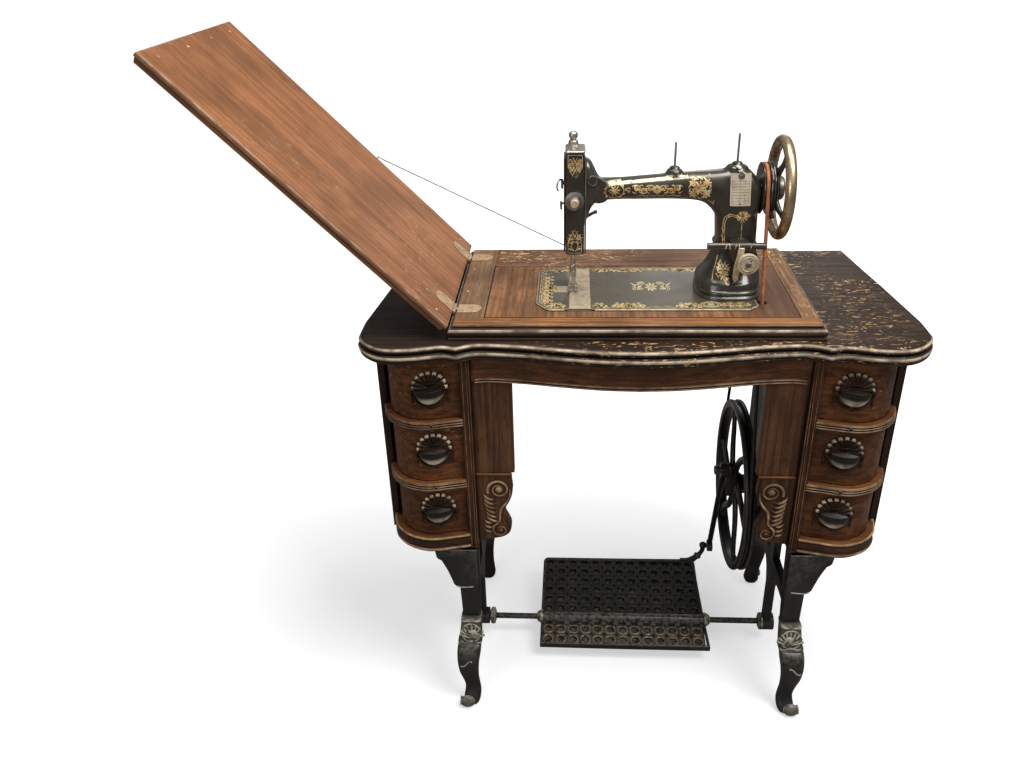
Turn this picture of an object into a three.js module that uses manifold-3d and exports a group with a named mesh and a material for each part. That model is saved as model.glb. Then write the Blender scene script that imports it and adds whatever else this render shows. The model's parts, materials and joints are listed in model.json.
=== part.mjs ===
// Treadle sewing machine: a tilting head in a six-drawer oak cabinet on a cast-iron base.
// Millimetres, +X to the sewer's right, +Y to the back, +Z up. The floor is at Z = 0.
import * as THREE from 'three';
import { mergeVertices } from 'three/addons/utils/BufferGeometryUtils.js';
import Module from 'manifold-3d';

const wasm = await Module();
wasm.setup();

// ---------------------------------------------------------------- driving dimensions
const GAP = 0.3; // running gap between pieces that touch

const TABLE_TOP = 748.6; // working surface of the table
const TABLE_THICK = 28.9;
const TABLE_UNDER = TABLE_TOP - TABLE_THICK;
const TABLE_BEAD = 7; // how far the edge moulding stands out

const FRAME_TOP = 772; // raised frame round the well
const FRAME = { left: -296, right: 278.6, front: -183.5, back: 171.6, bead: 8 };
const WELL = { left: -248.5, right: 252.1, front: -152.8, back: 77.5 };
const PANEL_THICK = 20;

const BED = { left: -166.2, right: 192.2, front: -127.5, back: 62.8, top: 774.7, thick: 16 };
const HEAD_Y = -34; // vertical plane through the shaft and the needle
const SHAFT_Z = 945.7;
const HEAD_HINGE = { y: 68, z: 770, pins: [-58, 150] };

const LID = { length: 588, front: -192, back: 190, thick: 19, slope: 45.5, hingeX: -300, hingeZ: 773 };

const CASE_BOTTOM = 342; // underside of the drawer cases
const CASE_BACK = 215;
const KNEE_X = 272; // knee-side face of each case
const STILE_X = 288.8; // outer edge of the reeded stile
const SHELF_TOPS = [606.6, 485, 371]; // the shelf below each drawer
const SHELF_THICK = [13.5, 14.6, 29];

const BASE_MID = -54; // the base is symmetric about this plane
const LEG_X = 293.5;
const LEG_WIDE = 38;
const TREADLE_Z = 51;

const WHEEL = { y: 20, z: 338, radius: 167, left: 203, right: 225, hub: 26, crank: 32 };
const WHEEL_BELT_X = 214;
const HAND = { x: 224, rim: 74, tube: 8.5, beltX: 198 };
const BELT_R = 3;
const WHEEL_GROOVE = 158.5;
const PULLEY_GROOVE = 35;

// ---------------------------------------------------------------- finishes
const finish = (color, roughness, metalness) => new THREE.MeshStandardMaterial({ color, roughness, metalness });
const oak = finish(0x5a3218, 0.5, 0);
const darkOak = finish(0x2c1c12, 0.4, 0);
const iron = finish(0x15161a, 0.45, 0.4);
const japan = finish(0x0d0f0d, 0.15, 0.1);
const nickel = finish(0xb9b7ae, 0.3, 1);
const brass = finish(0xb08d57, 0.4, 1);
const bronze = finish(0x7a5a34, 0.35, 0.9);
const leather = finish(0xa3552c, 0.7, 0);

// ---------------------------------------------------------------- solids
const AXES = { x: new THREE.Vector3(1, 0, 0), y: new THREE.Vector3(0, 1, 0), z: new THREE.Vector3(0, 0, 1) };

function solid(geometry) {
  const bare = geometry.clone();
  bare.deleteAttribute('normal');
  bare.deleteAttribute('uv');
  const merged = mergeVertices(bare, 1e-4);
  const mesh = new wasm.Mesh({
    numProp: 3,
    vertProperties: new Float32Array(merged.attributes.position.array),
    triVerts: new Uint32Array(merged.index.array),
  });
  return new wasm.Manifold(mesh);
}

function join(...pieces) {
  return pieces.flat().reduce((whole, piece) => whole.add(piece));
}

function cut(body, ...tools) {
  return tools.flat().reduce((rest, tool) => rest.subtract(tool), body);
}

function outline(points) {
  return new THREE.Shape(points.map(([u, v]) => new THREE.Vector2(u, v)));
}

// A closed smooth line through points, sampled, for outlines with curved edges.
function smooth(points, steps) {
  const curve = new THREE.SplineCurve(points.map(([u, v]) => new THREE.Vector2(u, v)));
  return curve.getPoints(steps).map((p) => [p.x, p.y]);
}

const mirrorU = (points) => points.map(([u, v]) => [-u, v]).reverse();

// Extrudes an outline between two planes. The outline's (u, v) are (X, Y) for axis z, (Y, Z) for
// axis x, and (X, Z) for axis y.
function prism(shape, from, to, axis = 'z', bevel = 0) {
  const flat = shape instanceof THREE.Shape ? shape : outline(shape);
  const geometry = new THREE.ExtrudeGeometry(flat, {
    depth: to - from - 2 * bevel,
    bevelEnabled: bevel > 0,
    bevelSize: bevel,
    bevelThickness: bevel,
    bevelSegments: 2,
    curveSegments: 6,
  });
  geometry.translate(0, 0, bevel);
  const basis = new THREE.Matrix4();
  if (axis === 'x') {
    basis.makeBasis(AXES.y, AXES.z, AXES.x).setPosition(from, 0, 0);
  } else if (axis === 'y') {
    basis.makeBasis(AXES.x, AXES.z, AXES.y.clone().negate()).setPosition(0, to, 0);
  } else {
    basis.setPosition(0, 0, from);
  }
  geometry.applyMatrix4(basis);
  return solid(geometry);
}

function block(x0, x1, y0, y1, z0, z1) {
  const geometry = new THREE.BoxGeometry(x1 - x0, y1 - y0, z1 - z0);
  geometry.translate((x0 + x1) / 2, (y0 + y1) / 2, (z0 + z1) / 2);
  return solid(geometry);
}

// A round bar between two points.
function bar(from, to, radius, sides = 12, endRadius = radius) {
  const a = new THREE.Vector3(...from);
  const b = new THREE.Vector3(...to);
  const geometry = new THREE.CylinderGeometry(endRadius, radius, a.distanceTo(b), sides);
  const turn = new THREE.Quaternion().setFromUnitVectors(AXES.y, b.clone().sub(a).normalize());
  geometry.applyQuaternion(turn);
  geometry.translate(...a.add(b).multiplyScalar(0.5).toArray());
  return solid(geometry);
}

function ball(centre, radius, sides = 10) {
  const geometry = new THREE.SphereGeometry(radius, sides, sides / 2 + 1);
  geometry.translate(...centre);
  return solid(geometry);
}

// Turns a profile of [radius, along] points round a line through centre along the X, Y or Z axis.
function turned(profile, centre, axis, sides = 24) {
  const geometry = new THREE.LatheGeometry(profile.map(([r, h]) => new THREE.Vector2(r, h)), sides);
  geometry.applyQuaternion(new THREE.Quaternion().setFromUnitVectors(AXES.y, AXES[axis]));
  geometry.translate(...centre);
  return solid(geometry);
}

// Joins rings of points, all with the same count, into one closed skin with flat ends.
function loft(rings) {
  const count = rings[0].length;
  const positions = rings.flat(2);
  const faces = [];
  for (let r = 0; r < rings.length - 1; r += 1) {
    for (let i = 0; i < count; i += 1) {
      const a = r * count + i;
      const b = r * count + ((i + 1) % count);
      faces.push(a, b, b + count, a, b + count, a + count);
    }
  }
  const last = (rings.length - 1) * count;
  for (let i = 1; i < count - 1; i += 1) {
    faces.push(0, i + 1, i);
    faces.push(last, last + i, last + i + 1);
  }
  const geometry = new THREE.BufferGeometry();
  geometry.setAttribute('position', new THREE.Float32BufferAttribute(positions, 3));
  geometry.setIndex(faces);
  return solid(geometry);
}

// A rounded-square ring: power 2 is an ellipse, and larger powers have squarer corners.
function roundedRing(halfU, halfV, power, count, place) {
  const ring = [];
  for (let i = 0; i < count; i += 1) {
    const angle = ((i + 0.5) / count) * 2 * Math.PI;
    const c = Math.cos(angle);
    const s = Math.sin(angle);
    const u = Math.sign(c) * Math.abs(c) ** (2 / power) * halfU;
    const v = Math.sign(s) * Math.abs(s) ** (2 / power) * halfV;
    ring.push(place(u, v));
  }
  return ring;
}

// A round tube along a closed line of points that lies near a plane of constant X.
function closedTube(points, radius, sides) {
  const rings = points.map((point, i) => {
    const before = points[(i + points.length - 1) % points.length];
    const after = points[(i + 1) % points.length];
    const along = new THREE.Vector3().subVectors(after, before).normalize();
    const out = new THREE.Vector3().crossVectors(along, AXES.x).normalize();
    const side = new THREE.Vector3().crossVectors(out, along);
    const ring = [];
    for (let k = 0; k < sides; k += 1) {
      const angle = (k / sides) * 2 * Math.PI;
      const offset = out.clone().multiplyScalar(Math.cos(angle) * radius);
      offset.addScaledVector(side, Math.sin(angle) * radius);
      ring.push(offset.add(point));
    }
    return ring;
  });
  const faces = [];
  const total = rings.length * sides;
  for (let r = 0; r < rings.length; r += 1) {
    for (let k = 0; k < sides; k += 1) {
      const a = r * sides + k;
      const b = r * sides + ((k + 1) % sides);
      faces.push(a, (b + sides) % total, b, a, (a + sides) % total, (b + sides) % total);
    }
  }
  const geometry = new THREE.BufferGeometry();
  const flat = rings.flat().flatMap((p) => p.toArray());
  geometry.setAttribute('position', new THREE.Float32BufferAttribute(flat, 3));
  geometry.setIndex(faces);
  const skin = solid(geometry);
  if (skin.volume() > 0) {
    return skin;
  }
  geometry.setIndex(faces.slice().reverse());
  return solid(geometry);
}

const machine = new THREE.Group();

function add(name, body, material) {
  const { vertProperties, triVerts } = body.getMesh();
  const geometry = new THREE.BufferGeometry();
  geometry.setAttribute('position', new THREE.BufferAttribute(new Float32Array(vertProperties), 3));
  geometry.setIndex(new THREE.BufferAttribute(new Uint32Array(triVerts), 1));
  geometry.computeVertexNormals();
  const mesh = new THREE.Mesh(geometry, material);
  mesh.name = name;
  machine.add(mesh);
  return mesh;
}

const SIDES = [['left', -1], ['right', 1]];
const across = (side, near, far) => [Math.min(side * near, side * far), Math.max(side * near, side * far)];

// ---------------------------------------------------------------- cast-iron base
const LEG_FRONT = [[-205, 341.5], [-205, 258], [-209, 190], [-221, 186], [-225, 160], [-228, 139]]
  .concat(smooth([[-243, 124], [-246, 108], [-240, 75], [-235, 45], [-240, 26], [-252, 18], [-261, 10], [-257, 1]], 12))
  .concat([[-252, 0], [-232, 0]])
  .concat(smooth([[-223, 8], [-221, 25], [-225, 55], [-225, 85], [-217, 115], [-200, 145], [-186, 190]], 10))
  .concat([[-180, 256], [-172, 341.5]]);
const ARCH = [[97, 196], [40, 203], [0, 197], [-28, 182], [-42, 150], [-42, 51]];

function baseEnd(side) {
  const mirrorY = (points) => points.map(([y, z]) => [2 * BASE_MID - y, z]).reverse();
  const [x0, x1] = across(side, LEG_X - LEG_WIDE / 2, LEG_X + LEG_WIDE / 2);
  const legs = [LEG_FRONT, mirrorY(LEG_FRONT)].map((points) => prism(points, x0, x1, 'x'));
  const half = smooth(ARCH.slice(0, 5), 10).concat([ARCH[5]]);
  const web = prism([[-205, 341.5], [97, 341.5], ...half, ...mirrorY(half)], side * 290 - 7, side * 290 + 7, 'x');
  const window = [[-172, 226], ...smooth([[-160, 240], [-156, 270], [-164, 312]], 5), [-70, 312], [-70, 226]];
  const openings = [window, mirrorY(window)].map((points) => prism(points, side * 290 - 9, side * 290 + 9, 'x'));
  const plate = cut(web, openings);
  const flare = [[352, 341.5], [349, 322], [341, 318], [330, 292], [320.6, 262], [312, 256], [300, 250], [300, 341.5]]
    .map(([x, z]) => [side * x, z]);
  const [f0, f1] = across(side, LEG_X - LEG_WIDE / 2, 352);
  const boss = bar([side * 276, BASE_MID, TREADLE_Z], [side * 304, BASE_MID, TREADLE_Z], 17, 18);
  const whole = join(legs, plate, prism(flare, -204, -176, 'y'), boss,
    block(f0, f1, -204, 96, 336, 341.5));
  return cut(whole, bar([side * 270, BASE_MID, TREADLE_Z], [side * 310, BASE_MID, TREADLE_Z], 6.6, 12));
}

for (const [name, side] of SIDES) {
  add(`base_end_${name}`, baseEnd(side), iron);
}
add('treadle_rod', bar([-303, BASE_MID, TREADLE_Z], [303, BASE_MID, TREADLE_Z], 6, 12), iron);

// ---------------------------------------------------------------- treadle, pitman and drive wheel
const TREADLE_TILT = THREE.MathUtils.degToRad(9.2);

// Places a solid drawn flat about the treadle rod at the treadle's resting slope.
function tilted(body) {
  return body.rotate([THREE.MathUtils.radToDeg(TREADLE_TILT), 0, 0]).translate([0, BASE_MID, TREADLE_Z]);
}

function treadle() {
  const plate = block(-168, 162, -70, 158, -4, 2);
  const rims = [block(-168, 162, -70, -64, -9, 4), block(-168, 162, 152, 158, -9, 4),
    block(-168, -162, -70, 158, -9, 4), block(156, 162, -70, 158, -9, 4)];
  const sleeve = bar([-173, 0, 0], [168, 0, 0], 11, 14);
  const body = cut(tilted(join(plate, rims, sleeve)),
    bar([-180, BASE_MID, TREADLE_Z], [180, BASE_MID, TREADLE_Z], 6.6, 12));
  const arm = [[150, 96, 75], [163, 104, 86], [174, 105, 97], [179, 105, 118]];
  const links = arm.slice(1).map((end, i) => bar(arm[i], end, 6, 8));
  return join(body, links, arm.slice(1, 3).map((p) => ball(p, 6, 8)), ball(arm[3], 7.5, 10));
}

function driveWheel() {
  const centre = [0, WHEEL.y, WHEEL.z];
  const rim = turned([[152, 204], [161, 203], [167, 204], [167, 209], [WHEEL_GROOVE, 211],
    [WHEEL_GROOVE, 217], [167, 219], [167, 224], [161, 225], [152, 224], [152, 204]], centre, 'x', 48);
  const hub = bar([198, WHEEL.y, WHEEL.z], [245, WHEEL.y, WHEEL.z], WHEEL.hub, 20);
  const spoke = [[14, -9], [60, -16], [110, -10], [156, 2], [156, 22], [108, 10], [60, 4], [14, 9]];
  const spokes = [];
  for (let i = 0; i < 6; i += 1) {
    const turn = (i / 6) * 2 * Math.PI;
    const points = spoke.map(([u, v]) => [
      WHEEL.y + u * Math.cos(turn) - v * Math.sin(turn),
      WHEEL.z + u * Math.sin(turn) + v * Math.cos(turn)]);
    spokes.push(prism(points, 207, 219, 'x'));
  }
  const crank = prism([[-15, -20], [15, -20], [15, 38], [8, 47], [-8, 47], [-15, 38]]
    .map(([y, z]) => [WHEEL.y + y, WHEEL.z + z]), 198, 209, 'x');
  const bore = bar([206, WHEEL.y, WHEEL.z], [250, WHEEL.y, WHEEL.z], 9.4, 16);
  const pinZ = WHEEL.z + WHEEL.crank;
  const pin = bar([181, WHEEL.y, pinZ], [200, WHEEL.y, pinZ], 5.4, 12);
  const pinHead = bar([172, WHEEL.y, pinZ], [182, WHEEL.y, pinZ], 9, 12);
  return cut(join(rim, hub, spokes, crank, pin, pinHead), bore);
}

const PITMAN_FOOT = [192, 105, 118];

function pitman() {
  const pinZ = WHEEL.z + WHEEL.crank;
  const eye = bar([184, WHEEL.y, pinZ], [196, WHEEL.y, pinZ], 15, 18);
  const neck = [190.5, WHEEL.y + 4, pinZ - 12];
  const rod = bar(neck, [192, 101, 128], 5.5, 10);
  const cup = bar([188, PITMAN_FOOT[1], PITMAN_FOOT[2]], [198, PITMAN_FOOT[1], PITMAN_FOOT[2]], 13, 16);
  const body = join(eye, rod, cup);
  return cut(body, bar([180, WHEEL.y, pinZ], [200, WHEEL.y, pinZ], 6.2, 14));
}

function wheelHanger() {
  const face = smooth([[-30, 560], [-34, 430], [-26, 338], [0, 300], [40, 300], [66, 338], [74, 430], [70, 560]], 24);
  const plate = prism(face.reverse(), 259, 271.5, 'x');
  const boss = bar([247, WHEEL.y, WHEEL.z], [262, WHEEL.y, WHEEL.z], 20, 20);
  return cut(join(plate, boss), bar([246, WHEEL.y, WHEEL.z], [266, WHEEL.y, WHEEL.z], 9.4, 16));
}

// The belt's line: both wheels lie in planes of constant X, and the belt leans a little between them.
function beltLine() {
  const top = { y: HEAD_Y, z: SHAFT_Z, r: PULLEY_GROOVE + BELT_R + GAP };
  const low = { y: WHEEL.y, z: WHEEL.z, r: WHEEL_GROOVE + BELT_R + GAP };
  const dy = low.y - top.y;
  const dz = low.z - top.z;
  const span = Math.hypot(dy, dz);
  const heading = Math.atan2(dz, dy);
  const spread = Math.acos((top.r - low.r) / span);
  const arcs = [[top, heading + spread, 2 * Math.PI - 2 * spread, 14, HAND.beltX],
    [low, heading - spread, 2 * spread, 34, WHEEL_BELT_X]];
  const points = [];
  for (const [wheel, start, sweep, steps, x] of arcs) {
    for (let i = 0; i <= steps; i += 1) {
      const angle = start + (sweep * i) / steps;
      const chord = 1 / Math.cos(sweep / steps / 2);
      const r = i === 0 || i === steps ? wheel.r : wheel.r * chord;
      points.push(new THREE.Vector3(x, wheel.y + r * Math.cos(angle), wheel.z + r * Math.sin(angle)));
    }
  }
  return points;
}

// Where a straight run of the belt crosses a height: the run ends at points i and i + 1.
function beltAt(height, front) {
  const points = beltLine();
  const a = front ? points[14] : points[0];
  const b = front ? points[15] : points[points.length - 1];
  return a.clone().lerp(b, (height - a.z) / (b.z - a.z));
}

add('treadle', treadle(), iron);
add('pitman', pitman(), iron);
add('drive_wheel', driveWheel(), iron);
add('wheel_axle', bar([206.5, WHEEL.y, WHEEL.z], [265.5, WHEEL.y, WHEEL.z], 9, 16), nickel);
add('wheel_hanger', wheelHanger(), iron);
add('drive_belt', closedTube(beltLine(), BELT_R, 8), leather);

// ---------------------------------------------------------------- cabinet top
const EDGE_RIGHT = smooth([[0, -228.5], [62, -225], [130, -214.5], [190, -203.5], [247, -198], [271, -202], [290, -211.5]], 18)
  .concat(smooth([[290, -211.5], [311, -205.5], [335, -210.5], [361, -216.5], [388, -218.3], [409, -214.5],
    [427, -202.5], [441, -186], [448.5, -168]], 18).slice(1))
  .concat([[449, -114], [433, 40], [412, 221]]);

function tableTop() {
  const half = EDGE_RIGHT.slice(1);
  const points = [...mirrorU(half), EDGE_RIGHT[0], ...half];
  const slab = prism(points, TABLE_UNDER, TABLE_TOP, 'z', TABLE_BEAD);
  return cut(slab, block(WELL.left, WELL.right, WELL.front, WELL.back, TABLE_UNDER - 10, TABLE_TOP + 10));
}

function wellFrame() {
  const ring = (grow, z0, z1) => block(FRAME.left - grow, FRAME.right + grow, FRAME.front - grow,
    FRAME.back + grow, z0, z1);
  const body = join(ring(FRAME.bead, TABLE_TOP + GAP, 763), ring(4, 762, 767), ring(0, 766, FRAME_TOP));
  return cut(body, block(WELL.left, WELL.right, WELL.front, WELL.back, TABLE_TOP - 5, FRAME_TOP + 5));
}

const BED_OUTLINE = (grow) => {
  const { left, right, front, back } = BED;
  return [[left - grow, front + 27 - grow], [left + 19, front - grow], [right - 12, front - grow],
    [right - 9, front + 9 - grow], [right + grow, front + 12], [right + grow, back + grow],
    [left + 20, back + grow], [left - grow, back - 19 + grow]];
};

function machinePanel() {
  const slab = block(WELL.left + GAP, WELL.right - GAP, WELL.front + GAP, WELL.back - GAP,
    FRAME_TOP - PANEL_THICK, FRAME_TOP);
  const holes = [true, false].map((front) => {
    const low = beltAt(TABLE_TOP, front);
    const high = beltAt(FRAME_TOP + 3, front);
    return bar(low.toArray(), high.toArray(), 8, 14);
  });
  const notches = HEAD_HINGE.pins.map((x) => block(x - 14, x + 14, 62, 74.5, 764, FRAME_TOP + 1));
  return cut(slab, prism(BED_OUTLINE(0.6), BED.top - BED.thick - GAP, FRAME_TOP + 5),
    block(BED.left + 12, BED.right - 12, BED.front + 12, BED.back - 12, 740, FRAME_TOP), holes, notches);
}

function dustTray() {
  const outer = block(-240, 186, -148, 72, 655, TABLE_UNDER - GAP);
  return cut(outer, block(-232, 178, -140, 64, 661, TABLE_UNDER + 5));
}

add('table_top', tableTop(), darkOak);
add('well_frame', wellFrame(), oak);
add('machine_panel', machinePanel(), oak);
add('dust_tray', dustTray(), oak);

// ---------------------------------------------------------------- lid and its hinges
// The lid and its leaves are drawn closed, from the hinge axis along +X, then opened.
function opened(body) {
  return body.rotate([0, LID.slope - 180, 0]).translate([LID.hingeX, 0, LID.hingeZ]);
}

function lid() {
  const { length, front, back, thick } = LID;
  const flat = join(block(1.8, length, front, back, 0.9, 9), block(4, length - 4, front + 4, back - 4, 8, thick));
  const seats = [-118, 125].map((y) => block(-2, 20, y - 17, y + 17, -1, 4.5));
  return opened(cut(flat, seats.map((seat) => seat.intersect(block(-2, 5, -200, 200, -1, 4.5)))));
}

function leaf(y, length) {
  const shape = [[2, -12.5], [length - 14, -12.5], [length - 5, -9], [length, 0], [length - 5, 9],
    [length - 14, 12.5], [2, 12.5]];
  return shape.map(([u, v]) => [u, v + y]);
}

for (const [name, y] of [['front', -118], ['back', 125]]) {
  const onFrame = prism(leaf(y, 42).map(([u, v]) => [u + LID.hingeX + 3.6, v]), FRAME_TOP + GAP, FRAME_TOP + 1.5);
  const tab = block(LID.hingeX, LID.hingeX + 8, y - 4, y + 4, FRAME_TOP + GAP, FRAME_TOP + 1.5);
  add(`lid_hinge_${name}_frame_leaf`,
    join(onFrame, tab, bar([LID.hingeX, y - 4, LID.hingeZ], [LID.hingeX, y + 4, LID.hingeZ], 2.4, 10),
      bar([LID.hingeX, y - 13, LID.hingeZ], [LID.hingeX, y + 13, LID.hingeZ], 1, 8)), brass);
  const onLid = prism(leaf(y, 44).map(([u, v]) => [u + 3.4, v]), -0.6, 0.6);
  const wings = [-8.6, 8.6].map((v) => join(block(0.4, 8, y + v - 4, y + v + 4, -0.6, 0.6),
    bar([0, y + v - 4, 0], [0, y + v + 4, 0], 2.4, 10)));
  const bores = bar([0, y - 14, 0], [0, y + 14, 0], 1.3, 8);
  add(`lid_hinge_${name}_lid_leaf`, opened(cut(join(onLid, wings), bores)), brass);
}
add('lid', lid(), oak);

const STAY = { lid: 245, lidBack: 192.6, foot: [-112, 196, 766] };
function stayWire() {
  const slope = THREE.MathUtils.degToRad(LID.slope);
  const top = [LID.hingeX - STAY.lid * Math.cos(slope), STAY.lidBack, LID.hingeZ + STAY.lid * Math.sin(slope)];
  return bar(top, STAY.foot, 0.8, 8);
}
add('lid_stay_wire', stayWire(), nickel);

// ---------------------------------------------------------------- drawer cases
// The serpentine front of a case in plan, for the right-hand side, from the stile outwards.
const FRONT_LINE = smooth([[288, -194], [318, -201], [341, -206.5], [364, -207], [389, -198], [406, -184.5],
  [419, -166], [426, -142]], 14);

// Points of the front line moved towards the inside of the case.
function frontLine(inset) {
  const centre = new THREE.Vector2(350, -100);
  return FRONT_LINE.map(([x, y]) => {
    const p = new THREE.Vector2(x, y);
    const pull = centre.clone().sub(p).normalize().multiplyScalar(inset);
    return [x + pull.x, y + pull.y];
  });
}

const sided = (points, side) => (side > 0 ? points : mirrorU(points));

function drawerCase(side) {
  const inner = block(...across(side, KNEE_X, KNEE_X + 14), -182, CASE_BACK, CASE_BOTTOM, TABLE_UNDER - GAP);
  const stile = block(...across(side, KNEE_X, STILE_X), -194, -181, CASE_BOTTOM, TABLE_UNDER - GAP);
  const outer = prism(sided([[437, -135], [408, CASE_BACK], [396, CASE_BACK], [425, -135]].reverse(), side),
    CASE_BOTTOM, TABLE_UNDER - GAP);
  const back = block(...across(side, KNEE_X, 400), CASE_BACK - 12, CASE_BACK, CASE_BOTTOM, TABLE_UNDER - GAP);
  const shelves = SHELF_TOPS.map((top, i) => {
    const front = frontLine(i === 2 ? -3 : 0);
    const plan = [[KNEE_X + 5, -182], [STILE_X - 2, -182], ...front, [430, -135], [402, CASE_BACK - 5],
      [KNEE_X + 5, CASE_BACK - 5]];
    return prism(sided(plan, side), top - SHELF_THICK[i], top);
  });
  return join(inner, stile, outer, back, shelves);
}

function drawer(side, bottom, top) {
  const front = frontLine(9);
  const plan = [[STILE_X + 1.5, -186], ...front.slice(1), [417, -137], [398, -150], [STILE_X + 1.5, -166]];
  const face = prism(sided(plan, side), bottom + 1, top - 1);
  const [x0, x1] = across(side, KNEE_X + 20, 390);
  const height = (top - bottom) * 0.8;
  const box = cut(block(x0, x1, -168, 190, bottom + 1, bottom + height),
    block(x0 + 8, x1 - 8, -158, 182, bottom + 8, bottom + height + 5));
  return join(face, box);
}

const PULL_X = 339;
const FAN = [];
for (let i = 0; i <= 12; i += 1) {
  const angle = (i / 12) * Math.PI;
  FAN.push([26 * Math.cos(angle), 4 + 30 * Math.sin(angle)]);
}

// A shell-shaped plate with a half-moon cup below it, open at the top for the fingers.
function drawerPull(side, z, y) {
  const cup = [];
  for (let i = 0; i <= 10; i += 1) {
    const angle = Math.PI + (i / 10) * Math.PI;
    cup.push([Math.cos(angle), Math.sin(angle)]);
  }
  const place = (points, ru, rv) => points.map(([u, v]) => [side * PULL_X + u * ru, z + v * rv]);
  const plate = prism(place([...FAN, [-26, -6], [-14, -27], [0, -34], [14, -27], [26, -6]], 1, 1), y - 3, y + 16, 'y');
  const shell = prism(place([...cup, [1, 0.3], [-1, 0.3]], 24, 24), y - 19, y - 2, 'y');
  const hollow = prism(place([...cup, [1, 1.2], [-1, 1.2]], 20, 20), y - 15.5, y - 3, 'y');
  const face = prism(sided([[300, -100], ...frontLine(9 - GAP), [400, -100]], side), z - 50, z + 50);
  return cut(join(plate, shell), hollow, face);
}

const DRAWERS = [['top', 606.6, TABLE_UNDER - 3], ['middle', 485, 593.1], ['bottom', 371, 470.4]];
const PULL_Z = [666, 549, 428];
for (const [name, side] of SIDES) {
  add(`case_${name}`, drawerCase(side), oak);
  DRAWERS.forEach(([level, bottom, top], i) => {
    add(`drawer_${name}_${level}`, drawer(side, bottom, top), oak);
    add(`pull_${name}_${level}`, drawerPull(side, PULL_Z[i], -199), darkOak);
  });
}

// ---------------------------------------------------------------- apron and knee-space trim
function apron() {
  const front = EDGE_RIGHT.slice(0, 15).map(([x, y]) => [x * 0.98, y + 13]).filter(([x]) => x < KNEE_X - 3);
  const half = [...front.slice(1), [KNEE_X - GAP, -186], [KNEE_X - GAP, -170]];
  const inner = [[200, -180], [120, -192], [0, -203]];
  const plan = [[front[0][0], front[0][1]], ...half, ...inner, ...mirrorU([...half, ...inner.slice(0, 2)])];
  return prism(plan, 671, TABLE_UNDER - GAP);
}

function kneeBoard(side) {
  const [x0, x1] = across(side, 205, KNEE_X - GAP);
  return block(x0, x1, -184, -170.5, 494.6, 670.6);
}

function scrollBracket(side) {
  const edge = smooth([[212, 494], [210, 474], [209, 458], [214, 438], [224, 417], [219, 402], [213, 386], [216, 369],
    [227, 359], [241, 355]], 20);
  const points = [...edge, [KNEE_X - GAP, 350], [KNEE_X - GAP, 494]];
  return prism(sided(points, side), -186, -170.5, 'y');
}

add('apron', apron(), oak);
for (const [name, side] of SIDES) {
  add(`knee_board_${name}`, kneeBoard(side), oak);
  add(`scroll_bracket_${name}`, scrollBracket(side), oak);
}

// ---------------------------------------------------------------- sewing head castings
const SLOT = { left: -112.5, right: -76.5, floor: 772.4 };
const NEEDLE = [-106.5, -38];
const PRESSER = [-106.5, -20];
const PLATE_BOX = [-139, SLOT.left - GAP, -52, -24];
const TONGUE = [SLOT.left - 4, -98, -45, -31];

function bed() {
  const deck = prism(BED_OUTLINE(0), BED.top - BED.thick, BED.top);
  const box = block(BED.left + 14, BED.right - 30, BED.front + 23, BED.back - 14, 716, BED.top - 2);
  const hollow = block(BED.left + 19, BED.right - 35, BED.front + 28, BED.back - 19, 700, BED.top - 8);
  const slideWay = block(SLOT.left, SLOT.right, BED.front - 5, BED.back + 5, SLOT.floor, BED.top + 5);
  const plateSeat = block(PLATE_BOX[0] - GAP, SLOT.left + 1, PLATE_BOX[2] - GAP, PLATE_BOX[3] + GAP, SLOT.floor, 780);
  const race = block(-110, -84, -96, 26, 740, BED.top + 5);
  return cut(join(deck, box), hollow, slideWay, plateSeat, race);
}

const archRing = (x, z0, z1, halfY, power) => roundedRing(halfY, (z1 - z0) / 2, power, 20,
  (u, v) => [x, HEAD_Y + u, (z0 + z1) / 2 + v]);
const pillarRing = (z, x0, x1, y0, y1, power) => roundedRing((x1 - x0) / 2, (y1 - y0) / 2, power, 20,
  (u, v) => [(x0 + x1) / 2 + u, (y0 + y1) / 2 + v, z]);

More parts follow.
